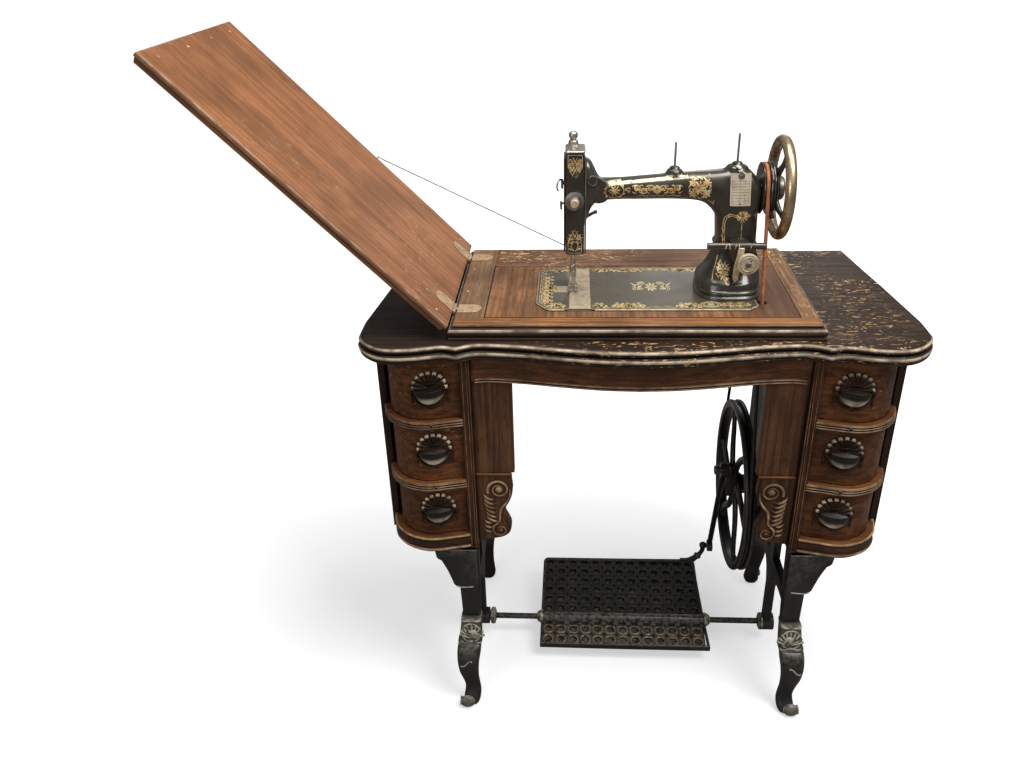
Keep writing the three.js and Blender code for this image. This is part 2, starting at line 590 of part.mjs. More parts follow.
function armCasting() {
  const arm = loft([[-96, 884, 998, 24, 3], [-88, 892, 999, 24, 3], [-81, 912, 995, 24, 2.6], [-74, 922, 984, 23, 2.4],
    [-66, 927, 968, 21, 2.4], [0, 931, 967, 21, 2.4], [51, 931, 971, 22, 2.4], [95, 928, 975, 24, 2.6],
    [118, 914, 980, 26, 2.8], [132, 890, 986, 28, 3], [145, 884, 990.5, 29, 3], [161, 884, 990.5, 29, 3],
    [173, 890, 978, 29, 3], [186, 905, 966, 28, 3]].map((s) => archRing(...s)));
  const pillar = loft([[775.2, 96, 205, -94, 26, 3], [781, 96, 205, -94, 26, 3], [789, 101, 203, -88, 20, 2.8],
    [806, 107, 201, -76, 8, 2.8], [825, 114, 196, -68, 0, 3], [842, 120, 191, -65, -3, 3.4],
    [866, 123, 188, -63, -5, 4], [900, 120, 187, -62, -6, 4], [930, 117, 187, -62, -6, 4],
    [960, 122, 184, -60, -8, 4]].map((s) => pillarRing(...s)));
  const head = prism([[-118.4, -57], [-115, -60], [-91, -60], [-88, -57], [-88, -11], [-91, -8], [-115, -8],
    [-118.4, -11]], 843, 1004.5);
  const lug = bar([188, HEAD_Y, SHAFT_Z], [180, HEAD_Y, SHAFT_Z], 16, 20);
  const saddles = [[55, 964, 974], [153, 985, 994]].map(([x, z0, z1]) => bar([x, HEAD_Y, z0], [x, HEAD_Y, z1], 11, 16, 8));
  const shaftBore = bar([-98, HEAD_Y, SHAFT_Z], [200, HEAD_Y, SHAFT_Z], 7.5, 14);
  const crankRoom = block(-115, -92, -50, -14, 915, 975);
  const needleBore = bar([NEEDLE[0], NEEDLE[1], 830], [NEEDLE[0], NEEDLE[1], 1010], 4, 12);
  const presserBore = bar([PRESSER[0], PRESSER[1], 830], [PRESSER[0], PRESSER[1], 1010], 4.6, 12);
  const pins = [[55, 966], [153, 985]].map(([x, z]) => bar([x, HEAD_Y, z], [x, HEAD_Y, 1010], 2.2, 8));
  const window = block(-125, -110, -48, -16, 918, 972);
  const stud = bar([-104, -70, 935], [-104, -52, 935], 3.4, 10);
  return cut(join(arm, pillar, head, lug, saddles), shaftBore, crankRoom, needleBore, presserBore, pins, window, stud);
}

const HEAD_CAP = [-118.4, -88, -60, -8];
function headCap() {
  const top = block(HEAD_CAP[0], HEAD_CAP[1], HEAD_CAP[2], HEAD_CAP[3], 1004.8, 1012);
  return cut(top, bar([NEEDLE[0], NEEDLE[1], 1000], [NEEDLE[0], NEEDLE[1], 1020], 4, 12),
    bar([PRESSER[0], PRESSER[1], 1000], [PRESSER[0], PRESSER[1], 1020], 4.6, 12));
}

add('bed', bed(), japan);
add('arm', armCasting(), japan);
add('head_cap', headCap(), nickel);
add('face_plate', block(-121.6, -118.7, -57, -11, 848, 1002), japan);
add('number_plate', block(138, 169, -64.2, -62.8, 927, 980), nickel);
for (const [name, x] of [['left', HEAD_HINGE.pins[0]], ['right', HEAD_HINGE.pins[1]]]) {
  add(`head_hinge_pin_${name}`,
    bar([x - 13, HEAD_HINGE.y, HEAD_HINGE.z], [x + 13, HEAD_HINGE.y, HEAD_HINGE.z], 2.4, 10), nickel);
}

// ---------------------------------------------------------------- moving pieces of the head
function handWheel() {
  const centre = [0, HEAD_Y, SHAFT_Z];
  const rim = turned([...Array(11).keys()].map((i) => {
    const angle = (i / 10) * 2 * Math.PI;
    return [HAND.rim + HAND.tube * Math.cos(angle), HAND.x + HAND.tube * Math.sin(angle)];
  }), centre, 'x', 36);
  const pulley = turned([[0, 191.5], [39, 191.5], [41, 193], [PULLEY_GROOVE, 194.4], [PULLEY_GROOVE, 201.8],
    [42, 203], [43, 206], [38, 209], [38, 213], [32, 215], [28, 217], [0, 217]], centre, 'x', 36);
  const spokes = [];
  for (let i = 0; i < 4; i += 1) {
    const turn = (i / 4) * 2 * Math.PI + 0.5;
    const at = (r, x) => [x, HEAD_Y + r * Math.cos(turn), SHAFT_Z + r * Math.sin(turn)];
    spokes.push(bar(at(24, 210), at(71, 223), 8, 8, 5));
  }
  return cut(join(rim, pulley, spokes), bar([188, HEAD_Y, SHAFT_Z], [222, HEAD_Y, SHAFT_Z], 7.3, 14));
}

// The bar with its screwed-on foot below and its thumb cap above.
function presserBar() {
  const [x, y] = PRESSER;
  const rod = bar([x, y, 792.5], [x, y, 1026], 4, 12);
  const cap = turned([[0, 1014], [7, 1014], [7, 1019], [5, 1021], [5.5, 1030], [4, 1036], [0, 1037]], [x, y, 0], 'z', 16);
  const shank = block(x - 6, x + 6, y - 6, y + 7, 792, 806);
  const sole = join(block(x - 3, x + 5, y - 10, y + 3, 778, 794), block(x - 8, x + 8, y - 34, y + 4, 775.2, 778.5));
  const eye = block(x - 2.5, x + 2.5, NEEDLE[1] - 3, NEEDLE[1] + 3, 770, 780);
  return cut(join(rod, cap, shank, sole), eye);
}

function tensionDial() {
  const [x, z] = [-104, 935];
  return join(turned([[0, -66.5], [6, -66.5], [9, -65], [15.5, -63.5], [15.5, -61.5], [9, -60.4], [0, -60.4]],
    [x, 0, z], 'y', 20), bar([x, -80, z], [x, -66, z], 7.5, 16), bar([x, -62, z], [x, -53, z], 3, 10));
}

function takeUpLever() {
  const line = [[-123.4, -34, 962], [-128, -34, 966], [-131.5, -36, 960], [-132, -38, 948]];
  const hook = line.slice(1).map((end, i) => bar(line[i], end, 1.6, 8));
  return join(hook, line.slice(1, 3).map((p) => ball(p, 1.6, 8)), bar([-126, -34, 956], [-122, -34, 956], 8, 14));
}

function presserLifter() {
  return join(bar([-94, -7.6, 886], [-94, -2.5, 886], 7, 14), bar([-94, -5, 886], [-72, -5, 896.5], 2.6, 8, 3.4),
    ball([-70, -5, 897.5], 4.5, 8));
}

function winderBracket() {
  const rail = block(118, 195, -92, -80, 856, 869);
  const foot = block(146, 174, -82, -63.6, 858, 867);
  const plate = prism([[146, 858], [146, 812], [156, 812], [166, 834], [180, 834], [184, 858]], -92, -86, 'y');
  return cut(join(rail, foot, plate), bar([172, -110, 842], [172, -80, 842], 3.4, 10));
}

add('hand_wheel', handWheel(), bronze);
add('arm_shaft', bar([-90, HEAD_Y, SHAFT_Z], [213, HEAD_Y, SHAFT_Z], 7, 14), nickel);
add('clutch_knob', turned([[0, 217.4], [17, 217.4], [19, 220], [19, 226], [15, 229], [0, 229]],
  [0, HEAD_Y, SHAFT_Z], 'x', 20), nickel);
add('needle_bar', join(bar([NEEDLE[0], NEEDLE[1], 812], [NEEDLE[0], NEEDLE[1], 1018], 3.6, 12),
  block(NEEDLE[0] - 5, NEEDLE[0] + 5, NEEDLE[1] - 5, NEEDLE[1] + 5, 808, 820),
  bar([NEEDLE[0], NEEDLE[1], 786], [NEEDLE[0], NEEDLE[1], 810], 0.9, 8)), nickel);
add('presser_bar', presserBar(), nickel);
add('presser_lifter', presserLifter(), nickel);
add('take_up_lever', takeUpLever(), nickel);
add('tension_dial', tensionDial(), nickel);
add('spool_pin_left', bar([55, HEAD_Y, 966.4], [55, HEAD_Y, 1020.5], 1.8, 8), nickel);
add('spool_pin_right', bar([153, HEAD_Y, 985.4], [153, HEAD_Y, 1033], 1.8, 8), nickel);
add('winder_bracket', winderBracket(), japan);
add('winder_wheel', join(bar([172, -106, 842], [172, -98, 842], 16.5, 24), bar([172, -99, 842], [172, -81, 842], 3, 10)),
  nickel);

const SLIDE_TOP = BED.top - 0.1;
const plateBlock = (x0, x1, y0, y1) => block(x0, x1, y0, y1, SLOT.floor + GAP, SLIDE_TOP);
add('slide_plate_front', cut(plateBlock(SLOT.left + GAP, SLOT.right - GAP, -121.5, -29.7),
  block(SLOT.left - 5, TONGUE[1] + GAP, TONGUE[2] - GAP, 0, 770, 780)), nickel);
add('slide_plate_rear', plateBlock(SLOT.left + GAP, SLOT.right - GAP, -28.7, 60), nickel);
add('needle_plate', cut(join(plateBlock(...PLATE_BOX), plateBlock(...TONGUE)),
  bar([NEEDLE[0], NEEDLE[1], 765], [NEEDLE[0], NEEDLE[1], 780], 1.6, 10)), nickel);

// The row's origin is the middle of the object's footprint, on the floor.
const bounds = new THREE.Box3().setFromObject(machine);
const centre = bounds.getCenter(new THREE.Vector3());
machine.position.set(-centre.x, -centre.y, 0);

export default machine;
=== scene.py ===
# Looks of the treadle sewing machine. Every CAD node keeps its place; fine pieces stand on it.
import json
import random
from math import acos, atan2, copysign, cos, hypot, pi, radians, sin

import bmesh
import bpy
from mathutils import Matrix, Vector
from mathutils.bvhtree import BVHTree

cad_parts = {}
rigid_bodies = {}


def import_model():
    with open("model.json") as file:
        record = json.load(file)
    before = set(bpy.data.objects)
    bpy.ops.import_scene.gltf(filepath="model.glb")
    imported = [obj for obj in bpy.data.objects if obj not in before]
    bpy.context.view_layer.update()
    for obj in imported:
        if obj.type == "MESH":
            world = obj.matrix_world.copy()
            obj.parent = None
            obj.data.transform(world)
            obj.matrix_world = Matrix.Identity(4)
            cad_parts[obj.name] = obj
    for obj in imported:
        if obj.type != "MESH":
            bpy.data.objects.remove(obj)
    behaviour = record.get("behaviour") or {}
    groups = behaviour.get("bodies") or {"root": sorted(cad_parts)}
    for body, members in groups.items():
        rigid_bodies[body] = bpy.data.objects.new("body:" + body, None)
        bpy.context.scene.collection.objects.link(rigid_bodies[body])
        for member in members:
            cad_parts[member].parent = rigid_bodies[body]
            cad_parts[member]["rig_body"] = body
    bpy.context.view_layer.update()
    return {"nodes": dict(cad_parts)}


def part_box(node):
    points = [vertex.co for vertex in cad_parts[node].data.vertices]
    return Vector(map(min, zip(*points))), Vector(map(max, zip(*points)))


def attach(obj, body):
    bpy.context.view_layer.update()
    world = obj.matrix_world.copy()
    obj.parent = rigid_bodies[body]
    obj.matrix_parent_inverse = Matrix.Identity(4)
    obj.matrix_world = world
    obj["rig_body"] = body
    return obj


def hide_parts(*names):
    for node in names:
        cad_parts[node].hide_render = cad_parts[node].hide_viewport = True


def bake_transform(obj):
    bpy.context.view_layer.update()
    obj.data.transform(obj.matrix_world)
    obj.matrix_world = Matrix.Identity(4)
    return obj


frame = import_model()
random.seed(7)

# The design's own numbers are millimetres about the cabinet's centre line; HOME is that line's foot.
MM = 0.001
FORWARD = Vector((0, -1, 0))
ROD_LOW, ROD_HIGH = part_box("treadle_rod")
BASE_MID = -54
REAR = 2 * BASE_MID  # a front Y taken from this gives the matching rear Y
ROD_Z = 51
HOME = Vector(((ROD_LOW.x + ROD_HIGH.x) / 2, (ROD_LOW.y + ROD_HIGH.y) / 2 - BASE_MID * MM, 0))


def circle(count, extra=0):
    """Angles round a full turn; extra 1 repeats the first at the end."""
    return [2 * pi * k / count for k in range(count + extra)]


def world(point):
    return HOME + Vector(point) * MM


# ------------------------------------------------------------------ camera, light and floor
def look_along(yaw, pitch, roll, place):
    yaw, pitch, roll = (radians(a) for a in (yaw, pitch, roll))
    ahead = Vector((-sin(yaw) * cos(pitch), cos(yaw) * cos(pitch), -sin(pitch)))
    right = Vector((cos(yaw), sin(yaw), 0))
    up = right.cross(ahead)
    side = cos(roll) * right + sin(roll) * up
    top = -sin(roll) * right + cos(roll) * up
    matrix = Matrix((side, top, -ahead)).transposed().to_4x4()
    matrix.translation = world(place)
    return matrix


def make_camera():
    data = bpy.data.cameras.new("camera")
    data.sensor_width = 36
    data.lens = 31.275
    camera = bpy.data.objects.new("camera", data)
    camera.matrix_world = look_along(4.326, 28.02, -1.793, (-107.1, -1462.8, 1349.1))
    bpy.context.scene.collection.objects.link(camera)
    bpy.context.scene.camera = camera


def area_light(name, place, target, size, power, color=(1, 1, 1)):
    data = bpy.data.lights.new(name, "AREA")
    data.size = size
    data.energy = power
    data.color = color
    lamp = bpy.data.objects.new(name, data)
    lamp.location = place
    lamp.rotation_euler = (Vector(target) - Vector(place)).to_track_quat("-Z", "Y").to_euler()
    bpy.context.scene.collection.objects.link(lamp)


def set_inputs(node, **values):
    """Sets a node's inputs; an underscore in a name stands for a space."""
    for name, value in values.items():
        node.inputs[name.replace("_", " ")].default_value = value


def make_studio():
    warm = (1, 0.96, 0.90)
    area_light("key_light", (1.5, -1.2, 3.4), (0.1, 0, 0.7), 1.6, 88, warm)
    area_light("fill_light", (-1.6, -3.0, 1.9), (0.1, 0, 0.5), 1.6, 22, warm)
    area_light("top_light", (0.1, 0.1, 3.4), (0.1, 0, 0.7), 1.6, 62, warm)
    area_light("back_light", (1.0, 3.4, 1.6), (0.1, 0, 0.9), 1.2, 5, warm)
    studio = bpy.data.worlds.new("studio")
    studio.use_nodes = True
    background = studio.node_tree.nodes["Background"]
    set_inputs(background, Color=(1, 0.985, 0.96, 1))
    path = studio.node_tree.nodes.new("ShaderNodeLightPath")
    strength = studio.node_tree.nodes.new("ShaderNodeMapRange")
    set_inputs(strength, To_Min=0.26, To_Max=1.1)
    studio.node_tree.links.new(path.outputs["Is Camera Ray"], strength.inputs["Value"])
    studio.node_tree.links.new(strength.outputs[0], background.inputs["Strength"])
    bpy.context.scene.world = studio
    mesh = bpy.data.meshes.new("floor")
    half = 40
    mesh.from_pydata([(-half, -half, 0), (half, -half, 0), (half, half, 0), (-half, half, 0)], [], [(0, 1, 2, 3)])
    floor = bpy.data.objects.new("floor", mesh)
    bpy.context.scene.collection.objects.link(floor)
    paper = bpy.data.materials.new("pale_floor")
    paper.use_nodes = True
    tree = paper.node_tree
    seen = tree.nodes.new("ShaderNodeMix")
    seen.data_type = "RGBA"
    tree.links.new(tree.nodes.new("ShaderNodeLightPath").outputs["Is Camera Ray"], seen.inputs[0])
    seen.inputs[6].default_value = (0.22, 0.21, 0.20, 1)
    seen.inputs[7].default_value = (0.62, 0.64, 0.68, 1)
    shader = tree.nodes["Principled BSDF"]
    tree.links.new(seen.outputs[2], shader.inputs["Base Color"])
    reach = tree.nodes.new("ShaderNodeVectorMath")
    reach.operation = "LENGTH"
    tree.links.new(tree.nodes.new("ShaderNodeNewGeometry").outputs["Position"], reach.inputs[0])
    far = tree.nodes.new("ShaderNodeMapRange")
    set_inputs(far, From_Min=0.5, From_Max=2.2, To_Min=0.52, To_Max=1.0)
    tree.links.new(reach.outputs["Value"], far.inputs["Value"])
    glow = tree.nodes.new("ShaderNodeMath")
    glow.operation = "MULTIPLY"
    tree.links.new(far.outputs[0], glow.inputs[1])
    tree.links.new(tree.nodes["Light Path"].outputs["Is Camera Ray"], glow.inputs[0])
    tree.links.new(glow.outputs[0], shader.inputs["Emission Strength"])
    set_inputs(shader, Emission_Color=(1, 1, 1, 1), Roughness=0.95, Specular_IOR_Level=0.1)
    mesh.materials.append(paper)
    bpy.context.scene.view_settings.view_transform = "Standard"


make_camera()
make_studio()


# ------------------------------------------------------------------ materials
class Paint:
    """A node material built step by step: each call adds one node and returns its first output."""

    def __init__(self, name, roughness=0.5, metallic=0.0, coat=0.0, coat_roughness=0.1):
        self.material = bpy.data.materials.new(name)
        self.material.use_nodes = True
        self.nodes = self.material.node_tree.nodes
        self.links = self.material.node_tree.links
        self.shader = self.nodes["Principled BSDF"]
        set_inputs(self.shader, Roughness=roughness, Metallic=metallic, Coat_Weight=coat, Coat_Roughness=coat_roughness)
        self.place = self.nodes.new("ShaderNodeTexCoord").outputs["Object"]

    def feed(self, socket, value):
        if isinstance(value, bpy.types.NodeSocket):
            self.links.new(value, socket)
        elif isinstance(value, tuple) and len(value) == 3 and socket.type == "RGBA":
            socket.default_value = (*value, 1)
        else:
            socket.default_value = value

    def stretched(self, scale, turn=(0, 0, 0)):
        place = self.place
        for socket, value in (("Rotation", turn), ("Scale", scale)):
            node = self.nodes.new("ShaderNodeMapping")
            self.feed(node.inputs["Vector"], place)
            node.inputs[socket].default_value = value
            place = node.outputs[0]
        return place

    def along(self, axis):
        node = self.nodes.new("ShaderNodeSeparateXYZ")
        self.feed(node.inputs[0], self.place)
        return node.outputs[axis]

    def noise(self, vector, scale=1.0, detail=3.0, distortion=0.0):
        node = self.nodes.new("ShaderNodeTexNoise")
        self.feed(node.inputs["Vector"], vector)
        set_inputs(node, Scale=scale, Detail=detail, Distortion=distortion)
        return node.outputs["Fac"]

    def ramp(self, value, low, high, start=0.0, end=1.0):
        node = self.nodes.new("ShaderNodeMapRange")
        node.interpolation_type = "SMOOTHSTEP"
        self.feed(node.inputs["Value"], value)
        set_inputs(node, From_Min=low, From_Max=high, To_Min=start, To_Max=end)
        return node.outputs[0]

    def math(self, operation, a, b):
        node = self.nodes.new("ShaderNodeMath")
        node.operation = operation
        self.feed(node.inputs[0], a)
        self.feed(node.inputs[1], b)
        return node.outputs[0]

    def mix(self, factor, a, b):
        node = self.nodes.new("ShaderNodeMix")
        node.data_type = "RGBA"
        self.feed(node.inputs[0], factor)
        self.feed(node.inputs[6], a)
        self.feed(node.inputs[7], b)
        return node.outputs[2]

    def attribute(self, name):
        node = self.nodes.new("ShaderNodeAttribute")
        node.attribute_name = name
        return node.outputs["Fac"]

    def pointiness(self):
        return self.nodes.new("ShaderNodeNewGeometry").outputs["Pointiness"]

    def bump(self, height, strength, distance=0.0005):
        node = self.nodes.new("ShaderNodeBump")
        set_inputs(node, Strength=strength, Distance=distance)
        self.feed(node.inputs["Height"], height)
        self.feed(self.shader.inputs["Normal"], node.outputs[0])

    def finish(self, color, roughness=None):
        self.feed(self.shader.inputs["Base Color"], color)
        if roughness is not None:
            self.feed(self.shader.inputs["Roughness"], roughness)
        return self.material


def dim(color, share):
    return tuple(c * share for c in color)


def oak(name, light, dark, along="x", gloss=0.42, worn_and_highlight=(0.30, 0.20, 0.12), chips=0.0, turn=(0, 0, 0), flake=None,
        darker_between=None, front=None):
    """Varnished oak: long streaks, short dark pores, blotches, pale worn edges that also paint highlights, and
    near-black grooves of painted shade.
    A pair of X darkens it between them, more towards the right; front is the Y before which chips gather."""
    paint = Paint(name, coat=0.06, coat_roughness=0.3)
    set_inputs(paint.shader, Specular_IOR_Level=0.17)
    axis = "xyz".index(along)

    def grain(cross, length):
        return paint.stretched([length if i == axis else cross for i in range(3)], turn)

    streak = paint.noise(grain(150, 5), 1, 5, 0.6)
    pores = paint.noise(grain(900, 45), 1, 2)
    blotch = paint.noise(paint.place, 9, 3, 0.4)
    tone = paint.mix(paint.ramp(streak, 0.32, 0.68), dark, light)
    tone = paint.mix(paint.ramp(blotch, 0.35, 0.7, 0.0, 0.55), tone, dim(dark, 0.45))
    tone = paint.mix(paint.ramp(pores, 0.56, 0.66, 0.0, 0.65), tone, dim(dark, 0.3))
    # The pale tone at a high wear mark paints worn edges and highlights together, broken into patches.
    wear_and_highlight_patches = paint.noise(paint.place, 60, 4, 0.5)
    edge = paint.math("MULTIPLY", paint.ramp(paint.attribute("wear_and_painted_light"), 0.45, 1.0), paint.ramp(wear_and_highlight_patches, 0.3, 0.62, 0.45, 1))
    worn_and_highlight_tone = paint.mix(paint.ramp(paint.noise(paint.place, 24, 3), 0.42, 0.6), worn_and_highlight, dim(worn_and_highlight, 0.5))
    tone = paint.mix(edge, tone, worn_and_highlight_tone)
    if chips:
        flakes = paint.noise(grain(190, 62), 1, 4, 1.2)
        zones = paint.ramp(paint.noise(paint.place, 5, 2), 0.45, 0.62)
        if front:
            strip = paint.ramp(paint.along(1), front, front + 0.02, 1.0, 0.0)
            right = paint.ramp(paint.along(0), HOME.x - 0.25, HOME.x + 0.02)
            zones = paint.math("MAXIMUM", paint.math("MULTIPLY", zones, right), paint.math("MULTIPLY", strip, right))
        tone = paint.mix(paint.math("MULTIPLY", paint.ramp(flakes, 0.66 - chips, 0.69 - chips), zones), tone,
            flake or worn_and_highlight)
    # Darker between the two X, more towards the right.
    if darker_between:
        tone = paint.mix(paint.ramp(paint.along(0), darker_between[0], darker_between[1], 0.0, 0.75), tone, dim(dark, 0.55))
    tone = paint.mix(paint.ramp(paint.attribute("painted_shade_and_seams"), 0.2, 0.9, 0, 0.9), tone, (0.006, 0.004, 0.003))
    height = paint.math("ADD", paint.math("MULTIPLY", streak, 0.5), paint.ramp(pores, 0.56, 0.66, 0.5, 0))
    paint.bump(height, 0.35, 0.0004)
    return paint.finish(tone, paint.ramp(streak, 0.3, 0.7, gloss + 0.12, gloss))


def enamel(name, base, rubbed_and_highlight, rub_from=0.53, gloss=0.3, coat=0.5):
    """Black enamel over iron: dusty blotches, edges and high spots rubbed to a grey brown that partly paints
    highlights, and painted shade in grooves and recesses.
    """
    paint = Paint(name, coat=coat, coat_roughness=0.16)
    dust = paint.noise(paint.place, 22, 5, 0.3)
    tone = paint.mix(paint.ramp(dust, 0.45, 0.75, 0, 0.16), base, rubbed_and_highlight)
    # Edges by pointiness and the wear mark turn to the rubbed tone; part of that mark is painted highlight.
    high = paint.math("ADD", paint.ramp(paint.pointiness(), rub_from, rub_from + 0.06), paint.attribute("wear_and_painted_light"))
    speck = paint.ramp(paint.noise(paint.place, 140, 4), 0.35, 0.6)
    tone = paint.mix(paint.math("MULTIPLY", high, speck), tone, rubbed_and_highlight)
    tone = paint.mix(paint.ramp(paint.attribute("painted_shade_and_seams"), 0.2, 0.9, 0, 0.8), tone, (0.002, 0.002, 0.002))
    paint.bump(paint.noise(paint.place, 260, 3), 0.12, 0.0004)
    return paint.finish(tone, paint.ramp(dust, 0.35, 0.7, gloss, gloss + 0.2))


def metal(name, bright, dull, roughness=0.28, spots=0.5, metallic=1.0):
    """Plated or bare metal with cloudy tarnish, dark specks, fine scratches and painted shade in its grooves."""
    paint = Paint(name, metallic=metallic)
    cloud = paint.noise(paint.place, 70, 5, 0.8)
    speck = paint.noise(paint.place, 600, 3)
    tone = paint.mix(paint.ramp(cloud, 0.35, 0.7), bright, dull)
    tone = paint.mix(paint.ramp(speck, 0.6, 0.72, 0, spots), tone, dim(dull, 0.25))
    tone = paint.mix(paint.ramp(paint.attribute("painted_shade_and_seams"), 0.2, 0.9, 0, 0.85), tone, (0.02, 0.015, 0.01))
    paint.bump(speck, 0.08, 0.0002)
    return paint.finish(tone, paint.ramp(cloud, 0.3, 0.75, roughness, roughness + 0.25))


def make_gold():
    """Transfer ornament: gold leaf, browned and thin in places."""
    paint = Paint("gold_ornament", metallic=0.4, coat=0.4)
    patch = paint.noise(paint.place, 130, 3)
    tone = paint.mix(paint.ramp(patch, 0.42, 0.66), (0.88, 0.70, 0.36), (0.52, 0.28, 0.10))
    tone = paint.mix(paint.ramp(paint.noise(paint.place, 420, 2), 0.58, 0.7, 0, 0.8), tone, (0.10, 0.06, 0.03))
    return paint.finish(tone, 0.38)


def make_band_gold(name, bright, bare_from, fade):
    """A band of pale gold worn through to the black in patches, serving as worn gold and, on the arm, as a painted
    sheen; fade is how much is gone at its right end.
    """
    paint = Paint(name, metallic=0.35, coat=0.6)
    patch = paint.noise(paint.place, 150, 5, 0.6)
    end = paint.ramp(paint.along(0), HOME.x + 0.045, HOME.x + 0.125, 0.0, fade)
    bare = paint.ramp(paint.math("ADD", patch, end), bare_from, bare_from + 0.14)
    tone = paint.mix(bare, bright, (0.06, 0.05, 0.03))
    return paint.finish(tone, 0.35)


def make_leather():
    """Tan belt, painted black below the table as the table's shade."""
    paint = Paint("belt_leather", roughness=0.6)
    patch = paint.noise(paint.place, 80, 4)
    tone = paint.mix(paint.ramp(patch, 0.35, 0.7), (0.50, 0.17, 0.07), (0.28, 0.09, 0.035))
    # Painted shade: black below the table's height, tan above.
    tone = paint.mix(paint.ramp(paint.along(2), 0.66, 0.74), (0.016, 0.010, 0.007), tone)
    paint.bump(paint.noise(paint.place, 900, 3), 0.3, 0.0003)
    return paint.finish(tone, paint.ramp(patch, 0.3, 0.7, 0.5, 0.75))


TAUPE = (0.40, 0.29, 0.20)
ORANGE = (0.34, 0.15, 0.05)
# The pale worn tones of the table, frame bead, trim, stile, shelf, bracket and carved oak paint wear and highlights
# together where the wear mark is high.
WOOD = {"table": oak("table_oak", (0.036, 0.022, 0.014), (0.022, 0.013, 0.009), "x", 0.40, (0.66, 0.54, 0.41), 0.06,
    flake=(0.44, 0.27, 0.14), front=HOME.y - 0.196), "lid": oak("lid_oak", (0.34, 0.146, 0.064),
    (0.215, 0.089, 0.039), "x", 0.45, TAUPE, 0.02, (0, radians(-45.5), 0)), "panel": oak("panel_oak",
    (0.275, 0.135, 0.064), (0.130, 0.060, 0.029), "y", 0.42, TAUPE, darker_between=(HOME.x + 0.12, HOME.x + 0.22)),
    "frame_front": oak("frame_front_oak", (0.36, 0.160, 0.056), (0.155, 0.066, 0.027), "x", 0.4, TAUPE, 0.03),
    "frame_left": oak("frame_left_oak", (0.235, 0.138, 0.077), (0.140, 0.082, 0.048), "y", 0.42, TAUPE),
    "frame_back": oak("frame_back_oak", (0.205, 0.108, 0.058), (0.100, 0.050, 0.028), "x", 0.42, (0.55, 0.38, 0.22),
    0.07), "frame_right": oak("frame_right_oak", (0.36, 0.205, 0.100), (0.135, 0.068, 0.033), "y", 0.5,
    (0.52, 0.36, 0.20), 0.09), "frame_bead": oak("frame_bead_oak", (0.080, 0.050, 0.034), (0.030, 0.019, 0.014), "x",
    0.4, (0.50, 0.41, 0.32)), "drawer": oak("drawer_oak", (0.165, 0.062, 0.023), (0.066, 0.024, 0.010), "x", 0.36,
    # The case oak is its own dark stain, kept darker still as painted shade of its shadowed outer sides.
    ORANGE, 0.03), "case": oak("case_oak", (0.042, 0.020, 0.011), (0.018, 0.009, 0.006), "z", 0.4, TAUPE),
    "trim": oak("trim_oak", (0.085, 0.036, 0.017), (0.036, 0.016, 0.009), "x", 0.4, (0.50, 0.34, 0.22)),
    "stile": oak("stile_oak", (0.080, 0.034, 0.016), (0.034, 0.015, 0.008), "z", 0.4, (0.46, 0.23, 0.12)),
    "shelf": oak("shelf_oak", (0.24, 0.098, 0.032), (0.11, 0.042, 0.016), "x", 0.42, (0.62, 0.37, 0.17)),
    "apron": oak("apron_oak", (0.175, 0.070, 0.030), (0.072, 0.029, 0.014), "x", 0.38, (0.36, 0.22, 0.14)),
    "bracket": oak("bracket_oak", (0.115, 0.052, 0.025), (0.046, 0.022, 0.011), "z", 0.42, (0.44, 0.29, 0.17)),
    "knee": oak("knee_oak", (0.140, 0.064, 0.031), (0.060, 0.027, 0.014), "z", 0.42, (0.34, 0.23, 0.15)),
    "carved": oak("carved_oak", (0.060, 0.030, 0.016), (0.024, 0.012, 0.008), "x", 0.34, (0.66, 0.54, 0.41)),
    # The cup oak's pale tone paints the cup's reflection.
    "cup": oak("cup_oak", (0.030, 0.022, 0.017), (0.014, 0.010, 0.008), "x", 0.24, (0.85, 0.77, 0.64)),}
IRON = enamel("iron_enamel", (0.004, 0.004, 0.0038), (0.085, 0.078, 0.066), 0.54, 0.34, 0.16)
# A lighter, browner copy of the black iron for knee blocks, shells, toes, collars, bosses and raised lines: wear and
# painted highlight.
IRON_WEAR_AND_HIGHLIGHT = enamel("iron_wear_and_highlight", (0.050, 0.047, 0.040), (0.34, 0.32, 0.27), 0.52, 0.34, 0.3)
CELL_IRON = enamel("treadle_lattice", (0.040, 0.030, 0.019), (0.30, 0.225, 0.145), 0.50, 0.34, 0.4)
JAPAN = enamel("black_japan", (0.021, 0.0185, 0.0125), (0.10, 0.084, 0.054), 0.56, 0.24, 0.8)
# A lighter copy of the black japan for the level bed: its extra lightness is a painted sheen.
BED_JAPAN_SHEEN = enamel("bed_japan_painted_sheen", (0.064, 0.055, 0.037), (0.16, 0.135, 0.09), 0.56, 0.32, 0.5)
NICKEL = metal("nickel_plate", (0.62, 0.60, 0.55), (0.36, 0.33, 0.28))
STEEL = metal("dull_steel", (0.33, 0.32, 0.30), (0.15, 0.14, 0.13), 0.38)
BRASS = metal("old_brass", (0.62, 0.46, 0.22), (0.38, 0.27, 0.13), 0.36)
HINGE_BRASS = metal("hinge_brass", (0.52, 0.37, 0.24), (0.34, 0.23, 0.14), 0.42, 0.6, 0.45)
BRONZE = metal("worn_plating", (0.66, 0.53, 0.34), (0.34, 0.25, 0.15), 0.26)
CREAM = metal("winder_metal", (0.66, 0.58, 0.44), (0.40, 0.31, 0.20), 0.38, 0.5, 0.45)
PLATE_STEEL = metal("plate_steel", (0.56, 0.47, 0.35), (0.36, 0.30, 0.22), 0.42, 0.5, 0.5)
GOLD = make_gold()
SHEEN_BAND_GOLD = make_band_gold("band_gold", (0.62, 0.55, 0.33), 0.52, 0.35)
